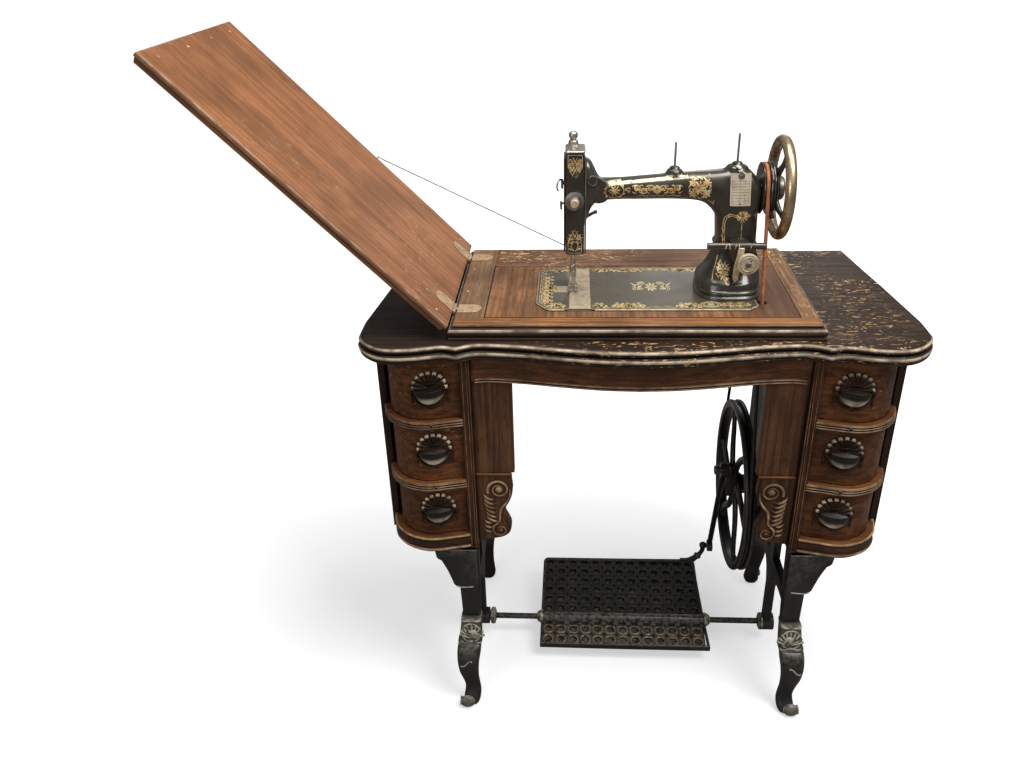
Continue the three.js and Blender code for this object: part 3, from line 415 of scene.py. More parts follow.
GROUND_GOLD = make_band_gold("ground_gold", (0.58, 0.48, 0.24), 0.42, 0.0)
PALE_GOLD = metal("pale_gold", (0.80, 0.73, 0.48), (0.60, 0.47, 0.24), 0.36, 0.6, 0.5)
PALE_PLATE = metal("pale_plate", (0.82, 0.74, 0.59), (0.62, 0.54, 0.41), 0.45, 0.3, 0.25)
LEATHER = make_leather()


# ------------------------------------------------------------------ mesh building
def mitre(before, after, least=0.3):
    """The outward step at a corner between two level directions; least stops it running away at a sharp one."""
    n1, n2 = Vector((before.y, -before.x)), Vector((after.y, -after.x))
    return (n1 + n2) / max(1 + n1.dot(n2), least)


class Shape:
    """Points in design millimetres, faces, and each point's wear and painted light: above zero wear and painted
    highlight, below zero painted shade in grooves and recesses, and dark seams.
    """

    def __init__(self):
        self.points = []
        self.faces = []
        self.wear_and_painted_light = []

    def add(self, points, faces, wear_and_painted_light=None):
        base = len(self.points)
        self.points += [Vector(p) for p in points]
        self.faces += [[i + base for i in face] for face in faces]
        self.wear_and_painted_light += list(wear_and_painted_light) if wear_and_painted_light else [0.0] * len(points)
        return self

    def grid(self, rows, around=False, along=False, caps=False, wear_and_painted_light=None):
        """A net of rows of points: around closes each row, along joins the last row to the first."""
        count, width = len(rows), len(rows[0])
        faces = []
        for r in range(count if along else count - 1):
            for c in range(width if around else width - 1):
                a, b = r * width + c, r * width + (c + 1) % width
                shift = ((r + 1) % count - r) * width
                faces.append([a, b, b + shift, a + shift])
        if caps:
            faces.append(list(range(width))[::-1])
            faces.append([(count - 1) * width + i for i in range(width)])
        flat = [p for row in rows for p in row]
        marks = None if wear_and_painted_light is None else [w for _ in rows for w in (list(wear_and_painted_light) + [0.0] * width)[:width]]
        return self.add(flat, faces, marks)

    def prism(self, outline, low, high, axis="z"):
        """An outline between two planes; its (u, v) are (X, Y), (Y, Z) for axis x or (X, Z) for axis y."""
        place = {"z": lambda u, v, w: (u, v, w), "x": lambda u, v, w: (w, u, v), "y": lambda u, v, w: (u, w, v)}[axis]
        return self.grid([[place(u, v, w) for u, v in outline] for w in (low, high)], around=True, caps=True)

    def block(self, x0, x1, y0, y1, z0, z1):
        return self.prism([(x0, y0), (x1, y0), (x1, y1), (x0, y1)], z0, z1)

    def lathe(self, profile, centre, axis, steps=48, wear_and_painted_light=None):
        """Turns [radius, along] points round an axis; a closed profile repeats its first point."""
        centre = Vector(centre)
        along = Vector([float(axis == letter) for letter in "xyz"]) if isinstance(axis, str) else Vector(axis)
        side = along.orthogonal().normalized()
        other = along.cross(side)
        closed = profile[0] == profile[-1]
        used = profile[:-1] if closed else profile
        rows = []
        for i in range(steps):
            turn = 2 * pi * i / steps
            out = side * cos(turn) + other * sin(turn)
            rows.append([centre + along * h + out * max(r, 0.01) for r, h in used])
        if not closed:
            base = len(self.points)
            self.grid(rows, along=True, wear_and_painted_light=wear_and_painted_light)
            self.faces.append([base + i * len(used) for i in range(steps)])
            self.faces.append([base + i * len(used) + len(used) - 1 for i in range(steps)][::-1])
            return self
        return self.grid(rows, around=True, along=True, wear_and_painted_light=wear_and_painted_light)

    def tube(self, path, radius, sides=10, flat=1.0, up=None, wear_and_painted_light=0.0, closed=False):
        """A round or flattened tube along points; radius is a number or a function of the share along."""
        path = [Vector(p) for p in path]
        rows = []
        last = len(path) - 1
        normal = None
        for i, point in enumerate(path):
            before = path[i - 1] if i or closed else point
            after = path[(i + 1) % len(path)] if i < last or closed else point
            along = (after - before).normalized()
            if up is not None:
                normal = Vector(up) - along * along.dot(Vector(up))
            elif normal is None:
                normal = along.orthogonal()
            else:
                normal = normal - along * along.dot(normal)
            normal.normalize()
            side = along.cross(normal)
            r = radius(i / last) if callable(radius) else radius
            turns = circle(sides)
            rows.append([point + side * r * cos(t) + normal * r * flat * sin(t) for t in turns])
        return self.grid(rows, around=True, along=closed, caps=not closed, wear_and_painted_light=[wear_and_painted_light] * sides)

    def sweep(self, path, section, closed=False, wear_and_painted_light=None):
        """Runs a section of [outward, Z] points along a level path, mitred at its corners."""
        rows = []
        last = len(path) - 1
        for i, (x, y) in enumerate(path):
            here = Vector((x, y))
            before = (here - Vector(path[i - 1])).normalized() if i or closed else None
            after = (Vector(path[(i + 1) % len(path)]) - here).normalized() if i < last or closed else None
            before = before or after
            after = after or before
            out = mitre(before, after)
            rows.append([(x + out.x * d, y + out.y * d, z) for d, z in section])
        return self.grid(rows, around=True, along=closed, caps=not closed, wear_and_painted_light=wear_and_painted_light)


def spline(points, steps=6, closed=False):
    """A smooth line through points of any dimension, with this many steps to each span."""
    points = [Vector(p) for p in points]
    count = len(points)
    line = []
    for i in range(count if closed else count - 1):
        if closed:
            a, b, c, d = (points[(i + k) % count] for k in (-1, 0, 1, 2))
        else:
            b, c = points[i], points[i + 1]
            a = points[i - 1] if i else b * 2 - c
            d = points[i + 2] if i + 2 < count else c * 2 - b
        for k in range(steps):
            t = k / steps
            line.append(0.5 * ((2 * b) + (c - a) * t + (2 * a - 5 * b + 4 * c - d) * t * t
                               + (3 * b - a - 3 * c + d) * t ** 3))
    if not closed:
        line.append(points[-1])
    return line


def shade(obj, angle=38):
    mesh = obj.data
    mesh.polygons.foreach_set("use_smooth", [True] * len(mesh.polygons))
    mesh.set_sharp_from_angle(angle=radians(angle))


def settle(obj, body, material, replaces):
    obj.data.materials.clear()
    obj.data.materials.append(material)
    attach(obj, body)
    if replaces:
        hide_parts(*replaces)
    return obj


def build(name, shape, material, body, replaces=(), bevel=0.0, angle=38, move=None):
    """Makes a piece from a Shape, in the row frame, riding on a body."""
    mesh = bpy.data.meshes.new(name)
    points = [move(p) if move else p for p in shape.points]
    mesh.from_pydata([world(p) for p in points], [], shape.faces)
    # Above zero the mark is wear and painted highlight; below zero it is painted shade in grooves and recesses, and
    # dark seams.
    for layer, sign in (("wear_and_painted_light", 1), ("painted_shade_and_seams", -1)):
        data = mesh.attributes.new(layer, "FLOAT", "POINT")
        data.data.foreach_set("value", [max(0.0, sign * w) for w in shape.wear_and_painted_light])
    bm = bmesh.new()
    bm.from_mesh(mesh)
    bmesh.ops.recalc_face_normals(bm, faces=bm.faces)
    bm.to_mesh(mesh)
    bm.free()
    obj = bpy.data.objects.new(name, mesh)
    bpy.context.scene.collection.objects.link(obj)
    round_edges(obj, bevel)
    shade(obj, angle)
    return settle(obj, body, material, replaces)


def round_edges(obj, bevel):
    if bevel:
        rounding = obj.modifiers.new("rounding", "BEVEL")
        rounding.width = bevel * MM
        rounding.segments = 2
        rounding.limit_method = "ANGLE"
        rounding.angle_limit = radians(32)
        rounding.harden_normals = False


def refined(node, material, bevel=0.6, name=None, cuts=()):
    """A finer stand-in for a CAD node: its own faces joined up, with rounded edges.
    Each of cuts, a Y and an outward normal, takes off what lies beyond it."""
    source = frame["nodes"][node]
    mesh = source.data.copy()
    mesh.name = name or node + "_fine"
    bm = bmesh.new()
    bm.from_mesh(mesh)
    bmesh.ops.remove_doubles(bm, verts=bm.verts, dist=1e-5)
    for y, normal in cuts:
        everything = bm.verts[:] + bm.edges[:] + bm.faces[:]
        bmesh.ops.bisect_plane(bm, geom=everything, plane_co=world((0, y, 0)), plane_no=normal, clear_outer=True)
        bmesh.ops.holes_fill(bm, edges=[e for e in bm.edges if e.is_boundary], sides=0)
    bmesh.ops.dissolve_limit(bm, angle_limit=radians(1.5), verts=bm.verts, edges=bm.edges)
    bm.to_mesh(mesh)
    bm.free()
    obj = bpy.data.objects.new(mesh.name, mesh)
    bpy.context.scene.collection.objects.link(obj)
    round_edges(obj, bevel)
    shade(obj)
    return settle(obj, source["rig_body"], material, [node])


SIDES = (("left", -1), ("right", 1))


def plate(outline, profile, wear_and_painted_light=None):
    """A flat piece from its outline: [outward, height] says how far it stands out at each level."""
    rows = []
    count = len(outline)
    for out, z in profile:
        row = []
        for i in range(count):
            here = Vector(outline[i])
            before = (here - Vector(outline[i - 1])).normalized()
            after = (Vector(outline[(i + 1) % count]) - here).normalized()
            move = mitre(before, after) * out
            row.append((here.x + move.x, here.y + move.y, z))
        rows.append(row)
    shape = Shape().grid(rows, around=True, caps=True)
    if wear_and_painted_light:
        shape.wear_and_painted_light = [w for w in wear_and_painted_light for _ in range(count)]
    return shape


def free(obj):
    """Takes a piece off its body and drops its body mark."""
    obj.parent = None
    del obj["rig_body"]
    return obj


def box_faces(x0, x1, y0, y1, z0, z1):
    shape = Shape().block(x0, x1, y0, y1, z0, z1)
    return shape.points, shape.faces


def at_angle(turn, u, v):
    """(u, v) turned by an angle."""
    return u * cos(turn) - v * sin(turn), u * sin(turn) + v * cos(turn)


def screw(place, out, radius=3.4, height=1.2, turn=0.0):
    """A slotted round screw head, its face towards out."""
    out = Vector(out).normalized()
    side = out.orthogonal().normalized()
    other = out.cross(side)
    shape = Shape()
    rows = []
    for r, h in ((radius, 0), (radius, height * 0.5), (radius * 0.8, height), (0.2, height * 1.1)):
        row = []
        for i in range(16):
            a = turn + 2 * pi * (i + 0.5) / 16
            level = h
            if r < radius and abs(sin(a - turn)) < 0.25:
                level = h - height * 0.45
            row.append(Vector(place) + out * level + (side * cos(a) + other * sin(a)) * r)
        rows.append(row)
    shape.grid(rows, around=True, caps=True)
    return shape


def merge(shapes):
    whole = Shape()
    for shape in shapes:
        whole.add(shape.points, shape.faces, shape.wear_and_painted_light)
    return whole


# ------------------------------------------------------------------ cabinet top, frame and panel
WELL = (-248.5, 252.1, -152.8, 77.5)
FRAME = (-296, 278.6, -183.5, 171.6)
FRAME_TOP = 772
EDGE_FRONT = ((0, -228.5), (62, -225), (130, -214.5), (190, -203.5), (247, -198), (271, -202), (290, -211.5))
EDGE_SIDE = ((290, -211.5), (311, -205.5), (335, -210.5), (361, -216.5), (388, -218.3), (409, -214.5), (427, -202.5),
    (441, -186), (448.5, -168))
EDGE_HALF = [(p.x, p.y) for p in spline(EDGE_FRONT, 7)][:-1] + [(p.x, p.y) for p in spline(EDGE_SIDE, 7)]
EDGE_HALF += [(449, -140), (449, -114), (441, -37), (433, 40), (422, 130), (412, 221), (300, 221), (150, 221)]
EDGE = EDGE_HALF + [(0, 221)] + [(-x, y) for x, y in EDGE_HALF[:0:-1]]
TABLE_EDGE = ((-6, 748.6), (-1, 748.6), (1.5, 748), (3.8, 746.2), (5.2, 743.3), (4.6, 740.4), (2.4, 738.4),
    (0.2, 737.4), (2.2, 736.4), (5.2, 735.2), (7, 732.6), (7, 729), (5.8, 725.6), (4.6, 724.4), (5.4, 723.2),
    (4.4, 721.4), (1.6, 720.2), (-8, 719.7))
# Crest lines of the table edge are paled as painted highlight and wear; its grooves are darkened as painted shade.
TABLE_WEAR_AND_PAINTED_LIGHT = (0, 0.1, 0.5, 1, 0.6, 0, -0.8, -1, -0.8, 0.3, 1, 0.7, 0, -0.9, 0.5, 0.1, 0, 0)


def make_table_top():
    shape = Shape().sweep(EDGE, TABLE_EDGE, closed=True, wear_and_painted_light=TABLE_WEAR_AND_PAINTED_LIGHT)
    width = len(TABLE_EDGE)
    base = len(shape.points)
    inner = [(min(max(x, WELL[0]), WELL[1]), min(max(y, WELL[2]), WELL[3])) for x, y in EDGE]
    shape.points += [Vector((x, y, z)) for x, y in inner for z in (748.6, 719.7)]
    shape.wear_and_painted_light += [0.0] * (2 * len(inner))
    shape.faces = [f for f in shape.faces if not {f[0] % width, f[1] % width} == {0, width - 1}]
    count = len(EDGE)
    for i in range(count):
        j = (i + 1) % count
        top_a, top_b = base + 2 * i, base + 2 * j
        shape.faces.append([i * width, j * width, top_b, top_a])
        shape.faces.append([i * width + width - 1, j * width + width - 1, top_b + 1, top_a + 1])
        if inner[i] != inner[j]:
            shape.faces.append([top_a, top_b, top_b + 1, top_a + 1])
    shape.faces = [list(dict.fromkeys(f)) for f in shape.faces]
    build("table_top_board", shape, WOOD["table"], "cabinet", ["table_top"], angle=50)


def make_frame():
    left, right, front, back = FRAME
    members = {"frame_front": (left, right, front, WELL[2] - 0.2), "frame_left": (left, WELL[0] - 0.2, WELL[2] + 0.1,
        back), "frame_back": (WELL[0] + 0.1, WELL[1] - 0.1, WELL[3] + 0.2, back), "frame_right": (WELL[1] + 0.2,
        right, WELL[2] + 0.1, back),}
    for name, (x0, x1, y0, y1) in members.items():
        shape = Shape().block(x0 + 0.2, x1 - 0.2, y0 + 0.2, y1 - 0.2, 749.2, FRAME_TOP)
        build(name + "_member", shape, WOOD[name], "cabinet", bevel=0.9)
    section = ((-0.4, FRAME_TOP - 0.6), (0.6, 771.2), (0.9, 767.6), (3, 767.4), (6, 766), (7.8, 763), (7.4, 758),
        (5.2, 755.4), (4.2, 753.8), (5.4, 752.8), (7.4, 752.2), (8, 750.6), (7.4, 749), (-0.4, 749))
    # The bead's crests are paled as painted highlight and wear; its step and groove are darkened as painted shade.
    wear_and_painted_light = (0.5, 0.7, -0.9, 0.2, 0.9, 0.7, 0, -0.4, -1, 0.2, 0.6, 0.3, 0, 0)
    corners = ((left, front), (right, front), (right, back), (left, back))
    shape = Shape().sweep(corners, section, closed=True, wear_and_painted_light=wear_and_painted_light)
    build("frame_moulding", shape, WOOD["frame_bead"], "cabinet", ["well_frame"], angle=50)
    refined("machine_panel", WOOD["panel"], 0.8)
    # Near-black strips in the gaps round the panel: painted shade.
    gap_shade = Shape()
    x0, x1, y0, y1 = WELL
    for xa, xb, ya, yb in ((x0 - 1.0, x0 + 1.2, y0, y1), (x1 - 0.9, x1 + 0.9, y0, y1), (x0, x1, y0 - 0.8, y0 + 0.8),
            (x0, x1, y1 - 0.7, y1 + 0.7)):
        gap_shade.block(xa, xb, ya, yb, FRAME_TOP - 1, FRAME_TOP + 0.12)
    gap_shade.wear_and_painted_light = [-1.0] * len(gap_shade.points)
    build("panel_gap_shade", gap_shade, WOOD["case"], "cabinet")
    batten = Shape().block(-248.2, -243.5, 78.2, 168, FRAME_TOP + 0.1, FRAME_TOP + 1.4)
    build("frame_light_batten", batten, WOOD["shelf"], "cabinet", bevel=0.4)
    marks = [screw((x, y, FRAME_TOP + 0.05), (0, 0, 1), 2.4, 0.7) for x, y in ((-286, -40), (-286, 66), (266, 110),
        (266, -20))]
    build("frame_screws", merge(marks), BRASS, "cabinet", angle=30)
    refined("dust_tray", WOOD["case"], 0.8)


make_table_top()
make_frame()


# ------------------------------------------------------------------ lid, hinges and stay
HINGE_X, HINGE_Z = -300, 773
# The open lid's rise and run for each millimetre along it.
LID_RISE, LID_RUN = 0.7133, 0.7009


def from_lid(point):
    """Lid point (along, Y, inward from its top face) to design millimetres."""
    u, v, w = point
    return Vector((HINGE_X - LID_RUN * u - LID_RISE * w, v, HINGE_Z + LID_RISE * u - LID_RUN * w))


def make_lid():
    outline = ((2.4, -191.4), (587.4, -191.4), (587.4, 189.4), (2.4, 189.4))
    profile = ((-6, 0.95), (-1.2, 0.95), (-0.2, 2), (0, 4), (0, 7.6), (-0.9, 8.8), (-2.6, 9.2), (-2.2, 10.4),
        (-3, 12.4), (-3.6, 15), (-4.6, 17.6), (-7, 18.9))
    wear_and_painted_light = (0, 0.8, 1, 0.6, 0.6, 0.9, -1, -0.6, 0.4, 0.5, 0.8, 0)
    build("lid_board", plate(outline, profile, wear_and_painted_light), WOOD["lid"], "lid", ["lid"], move=from_lid, angle=50)
    screws = [screw(from_lid((u, v, 0.9)), (LID_RISE, 0, LID_RUN), 2.6, 0.7) for u,
        v in ((569, -150), (569, -40), (569, 60), (569, 150), (30, -170), (30, 168))]
    build("lid_screws", merge(screws), BRASS, "lid", angle=30)
    for name, y in (("front", -118), ("back", 125)):
        tip = [(26 + 16 * sin(a), y + 16 * cos(a)) for a in [pi * k / 14 for k in range(15)]]
        leaf = [(3, y - 16.5), (3, y + 16.5)] + tip
        shape = Shape().prism([(u - 298, v) for u, v in leaf], 772.1, 773.6)
        for v0, v1 in ((-16, -13), (-4, 4), (13, 16)):
            shape.lathe([(1, y + v0), (2.4, y + v0), (2.4, y + v1), (1, y + v1), (1, y + v0)], (-300, 0, 773), "y", 16)
        shape.tube([(-300, y - 16, 773), (-300, y + 16, 773)], 1.0, 8)
        shape.add(*box_faces(-300, -294, y - 4, y + 4, 772.3, 773.6))
        build(f"hinge_{name}_frame_half", shape, HINGE_BRASS, "cabinet", [f"lid_hinge_{name}_frame_leaf"], bevel=0.3)
        shape = Shape().prism(leaf, -0.6, 0.6)
        for v0, v1 in ((-12.6, -4.4), (4.4, 12.6)):
            shape.lathe([(1.2, y + v0), (2.4, y + v0), (2.4, y + v1), (1.2, y + v1), (1.2, y + v0)], (0, 0, 0), "y", 16)
            shape.add(*box_faces(0.8, 6, y + v0, y + v1, -0.6, 0.6))
        build(f"hinge_{name}_lid_half", shape, HINGE_BRASS, "lid", [f"lid_hinge_{name}_lid_leaf"], bevel=0.3,
            move=from_lid)
        heads = [screw((-300 + u, y + v, 773.6), (0, 0, 1), 2.9, 0.6, 0.6) for u, v in ((15, -6), (15, 6), (34, 0))]
        build(f"hinge_{name}_frame_screws", merge(heads), HINGE_BRASS, "cabinet", angle=30)
        heads = [screw(from_lid((u, y + v, -0.6)), (LID_RISE, 0, LID_RUN), 2.9, 0.6, 0.2) for u,
            v in ((17, -6), (17, 6), (37, 0))]
        build(f"hinge_{name}_lid_screws", merge(heads), HINGE_BRASS, "lid", angle=30)


def make_stay():
    top = from_lid((245, 192.6, 0))
    foot = Vector((-112, 196, 766))
    eye = Shape().tube([from_lid((245, 189 + 5 * sin(t), 3.5 * cos(t))) for t in [i * 0.52 for i in range(12)]], 0.7,
        6, closed=True)
    build("stay_eye", eye, STEEL, "lid")
    foot_plate = merge([Shape().tube([(-112, 171.8, 762), (-112, 196, 762), (-112, 196, 764.6)], 1.6, 8),
        Shape().lathe([(0, 0), (4.5, 0), (4.5, 1.2), (0, 1.6)], (-112, 171.6, 762), "y", 16)])
    build("stay_foot", foot_plate, STEEL, "cabinet", angle=40)
    path = [top.lerp(foot, i / 60) for i in range(61)]
    wire = Shape().tube(path, 1.1, 8)
    obj = free(build("lid_stay", wire, STEEL, "cabinet"))
    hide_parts("lid_stay_wire")
    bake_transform(obj)


make_lid()
make_stay()

# ------------------------------------------------------------------ drawer cases
STILE_X = 288.8
FRONT_POINTS = ((288, -194), (318, -201), (341, -206.5), (364, -207), (389, -198), (406, -184.5), (419, -166),
    (426, -142))
FRONT_LINE = [(p.x, p.y) for p in spline(FRONT_POINTS, 4)]
PULL_X = 339
SHELVES = ((606.6, 13.5), (485, 14.6))


def front_y(x, inset=9.0):
    """Y of a drawer's face at a distance from the centre line, this far behind the shelf's edge."""
    x = min(max(abs(x), FRONT_LINE[0][0]), FRONT_LINE[-1][0])
    for (xa, ya), (xb, yb) in zip(FRONT_LINE, FRONT_LINE[1:]):
        if xa <= x <= xb:
            return ya + (yb - ya) * (x - xa) / (xb - xa) + inset
    return FRONT_LINE[-1][1] + inset


def beads(top, depth, count, reach, base):
    """A closed section of rounded beads one above another, with a groove between them."""
    section, wear_and_painted_light = [(base, top)], [0.2]
    step = depth / count
    for k in range(count):
        z = top - k * step
        section += [(0.2, z - 0.1 * step), (reach * 0.8, z - 0.22 * step), (reach, z - 0.5 * step),
            (reach * 0.8, z - 0.78 * step), (0.1, z - 0.95 * step)]
        wear_and_painted_light += [0.7 if k == 0 else -0.7, 0.6, 1, 0.5, -1]
    return section + [(base, top - depth)], wear_and_painted_light + [0]


def sided_line(points, side):
    return [(side * x, y) for x, y in points][::side]


def make_case(name, side):
    refined(f"case_{name}", WOOD["case"], 0.7)
    line = [(STILE_X - 1, -193.4)] + FRONT_LINE[1:] + [(428.5, -128), (420, -60), (411, 40), (401, 160), (397, 210)]
    for i, (top, depth) in enumerate(SHELVES):
        section, wear_and_painted_light = beads(top, depth, 3, 2.8, -3)
        shape = Shape().sweep(sided_line(line[:len(FRONT_LINE)], side), section, wear_and_painted_light=wear_and_painted_light)
        build(f"shelf_moulding_{name}_{i}", shape, WOOD["trim"], "cabinet", angle=60)
        # The ledge's nosing is paled as painted highlight and wear.
        strip = ((-8.4, top + 0.1), (-8.4, top + 0.5), (-0.4, top + 0.5), (1.1, top - 0.4), (-0.2, top - 0.6))
        shape = Shape().sweep(sided_line(line[:len(FRONT_LINE)], side), strip, wear_and_painted_light=(0, 0, 0, 1, 0))
        build(f"shelf_ledge_{name}_{i}", shape, WOOD["shelf"], "cabinet", angle=60)
        y = front_y(PULL_X, 0)
        knot = Shape()
        for k, (r, out) in enumerate(((6.2, 2.6), (4.4, 4.2), (3.2, 3.2))):
            ring = [(side * PULL_X + r * cos(a), y - out, top - depth / 2 + r * 0.8 * sin(a))
                for a in [j * pi / 2 for j in range(4)]]
            knot.points += [Vector(p) for p in ring]
            knot.wear_and_painted_light += [(-0.8, 1, -0.9)[k]] * 4
        for k in range(2):
            for j in range(4):
                knot.faces.append([k * 4 + j, k * 4 + (j + 1) % 4, k * 4 + 4 + (j + 1) % 4, k * 4 + 4 + j])
        knot.faces += [[3, 2, 1, 0], [8, 9, 10, 11]]
        build(f"shelf_diamond_{name}_{i}", knot, WOOD["trim"], "cabinet", angle=20)
    section = ((-4, 371), (3.4, 371), (5.2, 370), (5.6, 368.4), (4.6, 366.8), (2.6, 366), (3.4, 364), (4, 358),
        (4.4, 352), (3, 350.6), (4.6, 349.4), (5.8, 347.4), (5.4, 344.6), (3.4, 342.4), (-4, 342.2))
    wear_and_painted_light = (0.3, 0.9, 1, 0.6, -0.4, -1, 0, 0, 0.2, -0.9, 0.6, 1, 0.7, 0.2, 0)
    shape = Shape().sweep(sided_line(line, side), section, wear_and_painted_light=wear_and_painted_light)
    build(f"base_moulding_{name}", shape, WOOD["trim"], "cabinet", angle=60)
    # The ledge's nosing is paled as painted highlight and wear.
    ledge = ((-8.4, 371.1), (-8.4, 371.6), (2.4, 371.6), (4.2, 370.6), (3, 370.2))
    shape = Shape().sweep(sided_line(line[:len(FRONT_LINE)], side), ledge, wear_and_painted_light=(0, 0, 0.5, 1, 0))
    build(f"base_ledge_{name}", shape, WOOD["shelf"], "cabinet", angle=60)
    # Each reed's crest is paled as painted highlight and wear.
    reeds = Shape().block(*sorted((side * 272.4, side * 288.6)), -194.8, -193.8, 343, 718.6)
    for x, radius in ((273.6, 1.2), (277.4, 1.5), (284.6, 1.7)):
        ring = [(side * x + radius * cos(a), -194.4 - radius * sin(a)) for a in [pi * j / 6 for j in range(7)]]
        reeds.prism(ring, 343, 718.6)
        reeds.wear_and_painted_light[-14:] = [0, 0, 0.3, 1, 0.3, 0, 0] * 2
    build(f"stile_reeds_{name}", reeds, WOOD["stile"], "cabinet", angle=60)
    end = Shape().block(*sorted((side * 271.6, side * 289.4)), -197, -193, 336.5, 343)
    build(f"stile_foot_{name}", end, WOOD["trim"], "cabinet", bevel=0.8)


PULLS = (("top", 666), ("middle", 549), ("bottom", 428))


def carved_pull(side, z):
    """A scalloped fan over a quarter-round cup with drapes at its sides, standing on a drawer's face."""
    x0 = side * PULL_X
    plane = front_y(PULL_X) + 0.2

    def on_face(u, v, out):
        return x0 + u, front_y(x0 + u) - 0.1 - out, z + v

    plan = Shape()
    lobes, rings = 9, (0.0, 0.3, 0.55, 0.75, 0.9, 1.0, 1.06)
    count = lobes * 10 + 1
    rows = []
    # Lobe tips are paled as wear and painted highlight; the fan between them is slightly darkened as painted shade.
    fan_wear_and_painted_light = []
    for share in rings:
        row = []
        for i in range(count):
            t = i / (count - 1)
            angle = radians(-12 + 204 * t)
            lobe = abs(sin(pi * lobes * t))
            reach = (26.5 + 3.4 * lobe) * min(share, 1.0)
            height = 1.0 + 4.6 * min(1, share * 1.4) * (0.35 + 0.65 * lobe ** 0.7)
            if share > 0.95:
                height *= 0.72
            if share > 1.0:
                height = -0.6
                reach *= 1.012
            row.append(on_face(reach * cos(angle), 2 + reach * 1.02 * sin(angle), height))
            fan_wear_and_painted_light.append(0.0 if share < 0.7 or share > 1 else (1.0 if lobe > 0.45 and share > 0.85 else -0.3))
        rows.append(row)
    plan.grid(rows)
    plan.wear_and_painted_light = fan_wear_and_painted_light
    cup = Shape()
    rows = []
    for i in range(21):
        a = pi * i / 20
        row = []
        for j in range(11):
            b = pi / 2 * j / 10
            row.append(on_face(-25.5 * cos(a), 1.0 - 29 * sin(a) * sin(b),
                17.5 * sin(a) ** 0.55 * cos(b) ** 0.75 + 0.3))
        rows.append(row)
    # Paled towards the cup's bottom: a painted reflection of the floor, in the cup oak's pale tone.
    cup.grid(rows, wear_and_painted_light=(0, 0, 0.35, 0.6, 0.75, 0.85, 0.95, 1, 0.8, 0.5, 0.1))
    cup.wear_and_painted_light = [w * sin(pi * (i // 11) / 20) ** 0.5 for i, w in enumerate(cup.wear_and_painted_light)]
    rim = Shape().tube([on_face(-25.5 * cos(pi * i / 30), 1.0, 17.3 * sin(pi * i / 30) ** 0.55 + 0.2)
        for i in range(31)], 0.9, 8, wear_and_painted_light=0.1)
    # A near-black sheet across the cup's opening: painted shade in its hollow.
    dark = Shape()
    row_top = [on_face(-25 * cos(pi * i / 20), 2.4, 0.5) for i in range(21)]
    row_low = [on_face(-23.6 * cos(pi * i / 20), -2 - 5 * sin(pi * i / 20), 15.5 * sin(pi * i / 20) ** 0.55)
        for i in range(21)]
    dark.grid([row_top, row_low])
    dark.wear_and_painted_light = [-1.0] * len(dark.points)
    # A dark brow over the cup's top edge: painted shade.
    brow = Shape().tube([on_face(25.4 * cos(radians(5 + 170 * i / 24)), 2.5 + 6.5 * sin(radians(5 + 170 * i / 24)),
        1.8) for i in range(25)], lambda t: 2.4 - 1.2 * abs(2 * t - 1), 8, wear_and_painted_light=-0.8)
    scrolls = Shape()
    for s in (-1, 1):
        drape = spline([(s * 28, -1, 1.2), (s * 31, -9, 1.8), (s * 29, -19, 1.8), (s * 31, -28, 1.0)], 5)
        scrolls.tube([on_face(p.x, p.y, p.z) for p in drape], lambda t: 3.0 - 1.4 * t, 8, wear_and_painted_light=0.12)
        drape = spline([(s * 27, -14, 0.6), (s * 22, -25, 1.2), (s * 11, -32, 1.6), (0, -34, 1.6)], 5)
        scrolls.tube([on_face(p.x, p.y, p.z) for p in drape], 2.4, 8, wear_and_painted_light=0.0)
        curl_line = [(s * (29.5 + (4.6 - 0.42 * k) * cos(0.62 * k)), 3 + (4.6 - 0.42 * k) * sin(0.62 * k), 1.8)
            for k in range(10)]
        scrolls.tube([on_face(*p) for p in curl_line], 1.4, 6, wear_and_painted_light=0.4)
    lip = Shape().lathe([(0, 0), (5.5, 0.5), (6, 2.6), (3.8, 4.4), (0, 5)], on_face(0, -32, -1), FORWARD, 14,
        wear_and_painted_light=(0.5, 0.3, 0, -0.2, 0))
    ribs = Shape()
    for k in range(lobes):
        t = (k + 0.5) / lobes
        angle = radians(-12 + 204 * t)
        line = [on_face(r * cos(angle), 2 + r * sin(angle), 2.2 + 3.4 * (r / 28)) for r in (9, 15, 21, 26)]
        ribs.tube(line, lambda s, k=k: 0.5 + 1.5 * s, 6, wear_and_painted_light=0.25)
    plane_back = Shape().prism([(x0 + 25 * cos(a), z + 24 * sin(a) - 3) for a in [k * pi / 10 for k in range(20)]],
        plane - 1.4, plane + 4.0, "y")
    return merge([plan, brow, scrolls, ribs, plane_back]), merge([cup, rim, dark, lip])


def make_drawers():
    for name, side in SIDES:
        for level, z in PULLS:
            refined(f"drawer_{name}_{level}", WOOD["drawer"], 0.8)
            fan, cup = carved_pull(side, z)
            build(f"carved_pull_{name}_{level}", fan, WOOD["carved"], f"drawer_{name}_{level}",
                [f"pull_{name}_{level}"], angle=70)
            build(f"pull_cup_{name}_{level}", cup, WOOD["cup"], f"drawer_{name}_{level}", angle=70)


for case_name, case_side in SIDES:
    make_case(case_name, case_side)
make_drawers()


# ------------------------------------------------------------------ apron, knee boards and scroll brackets
def make_apron():
    refined("apron", WOOD["apron"], 0.8)
    line = [(x * 0.98, y + 13) for x, y in EDGE_HALF if x * 0.98 < 268 and y < 0]
    line = [(-x, y) for x, y in line[:0:-1]] + line
    section, wear_and_painted_light = beads(680, 9.2, 2, 2.4, -2)
    build("apron_moulding", Shape().sweep(line, section, wear_and_painted_light=wear_and_painted_light), WOOD["trim"], "cabinet", angle=60)


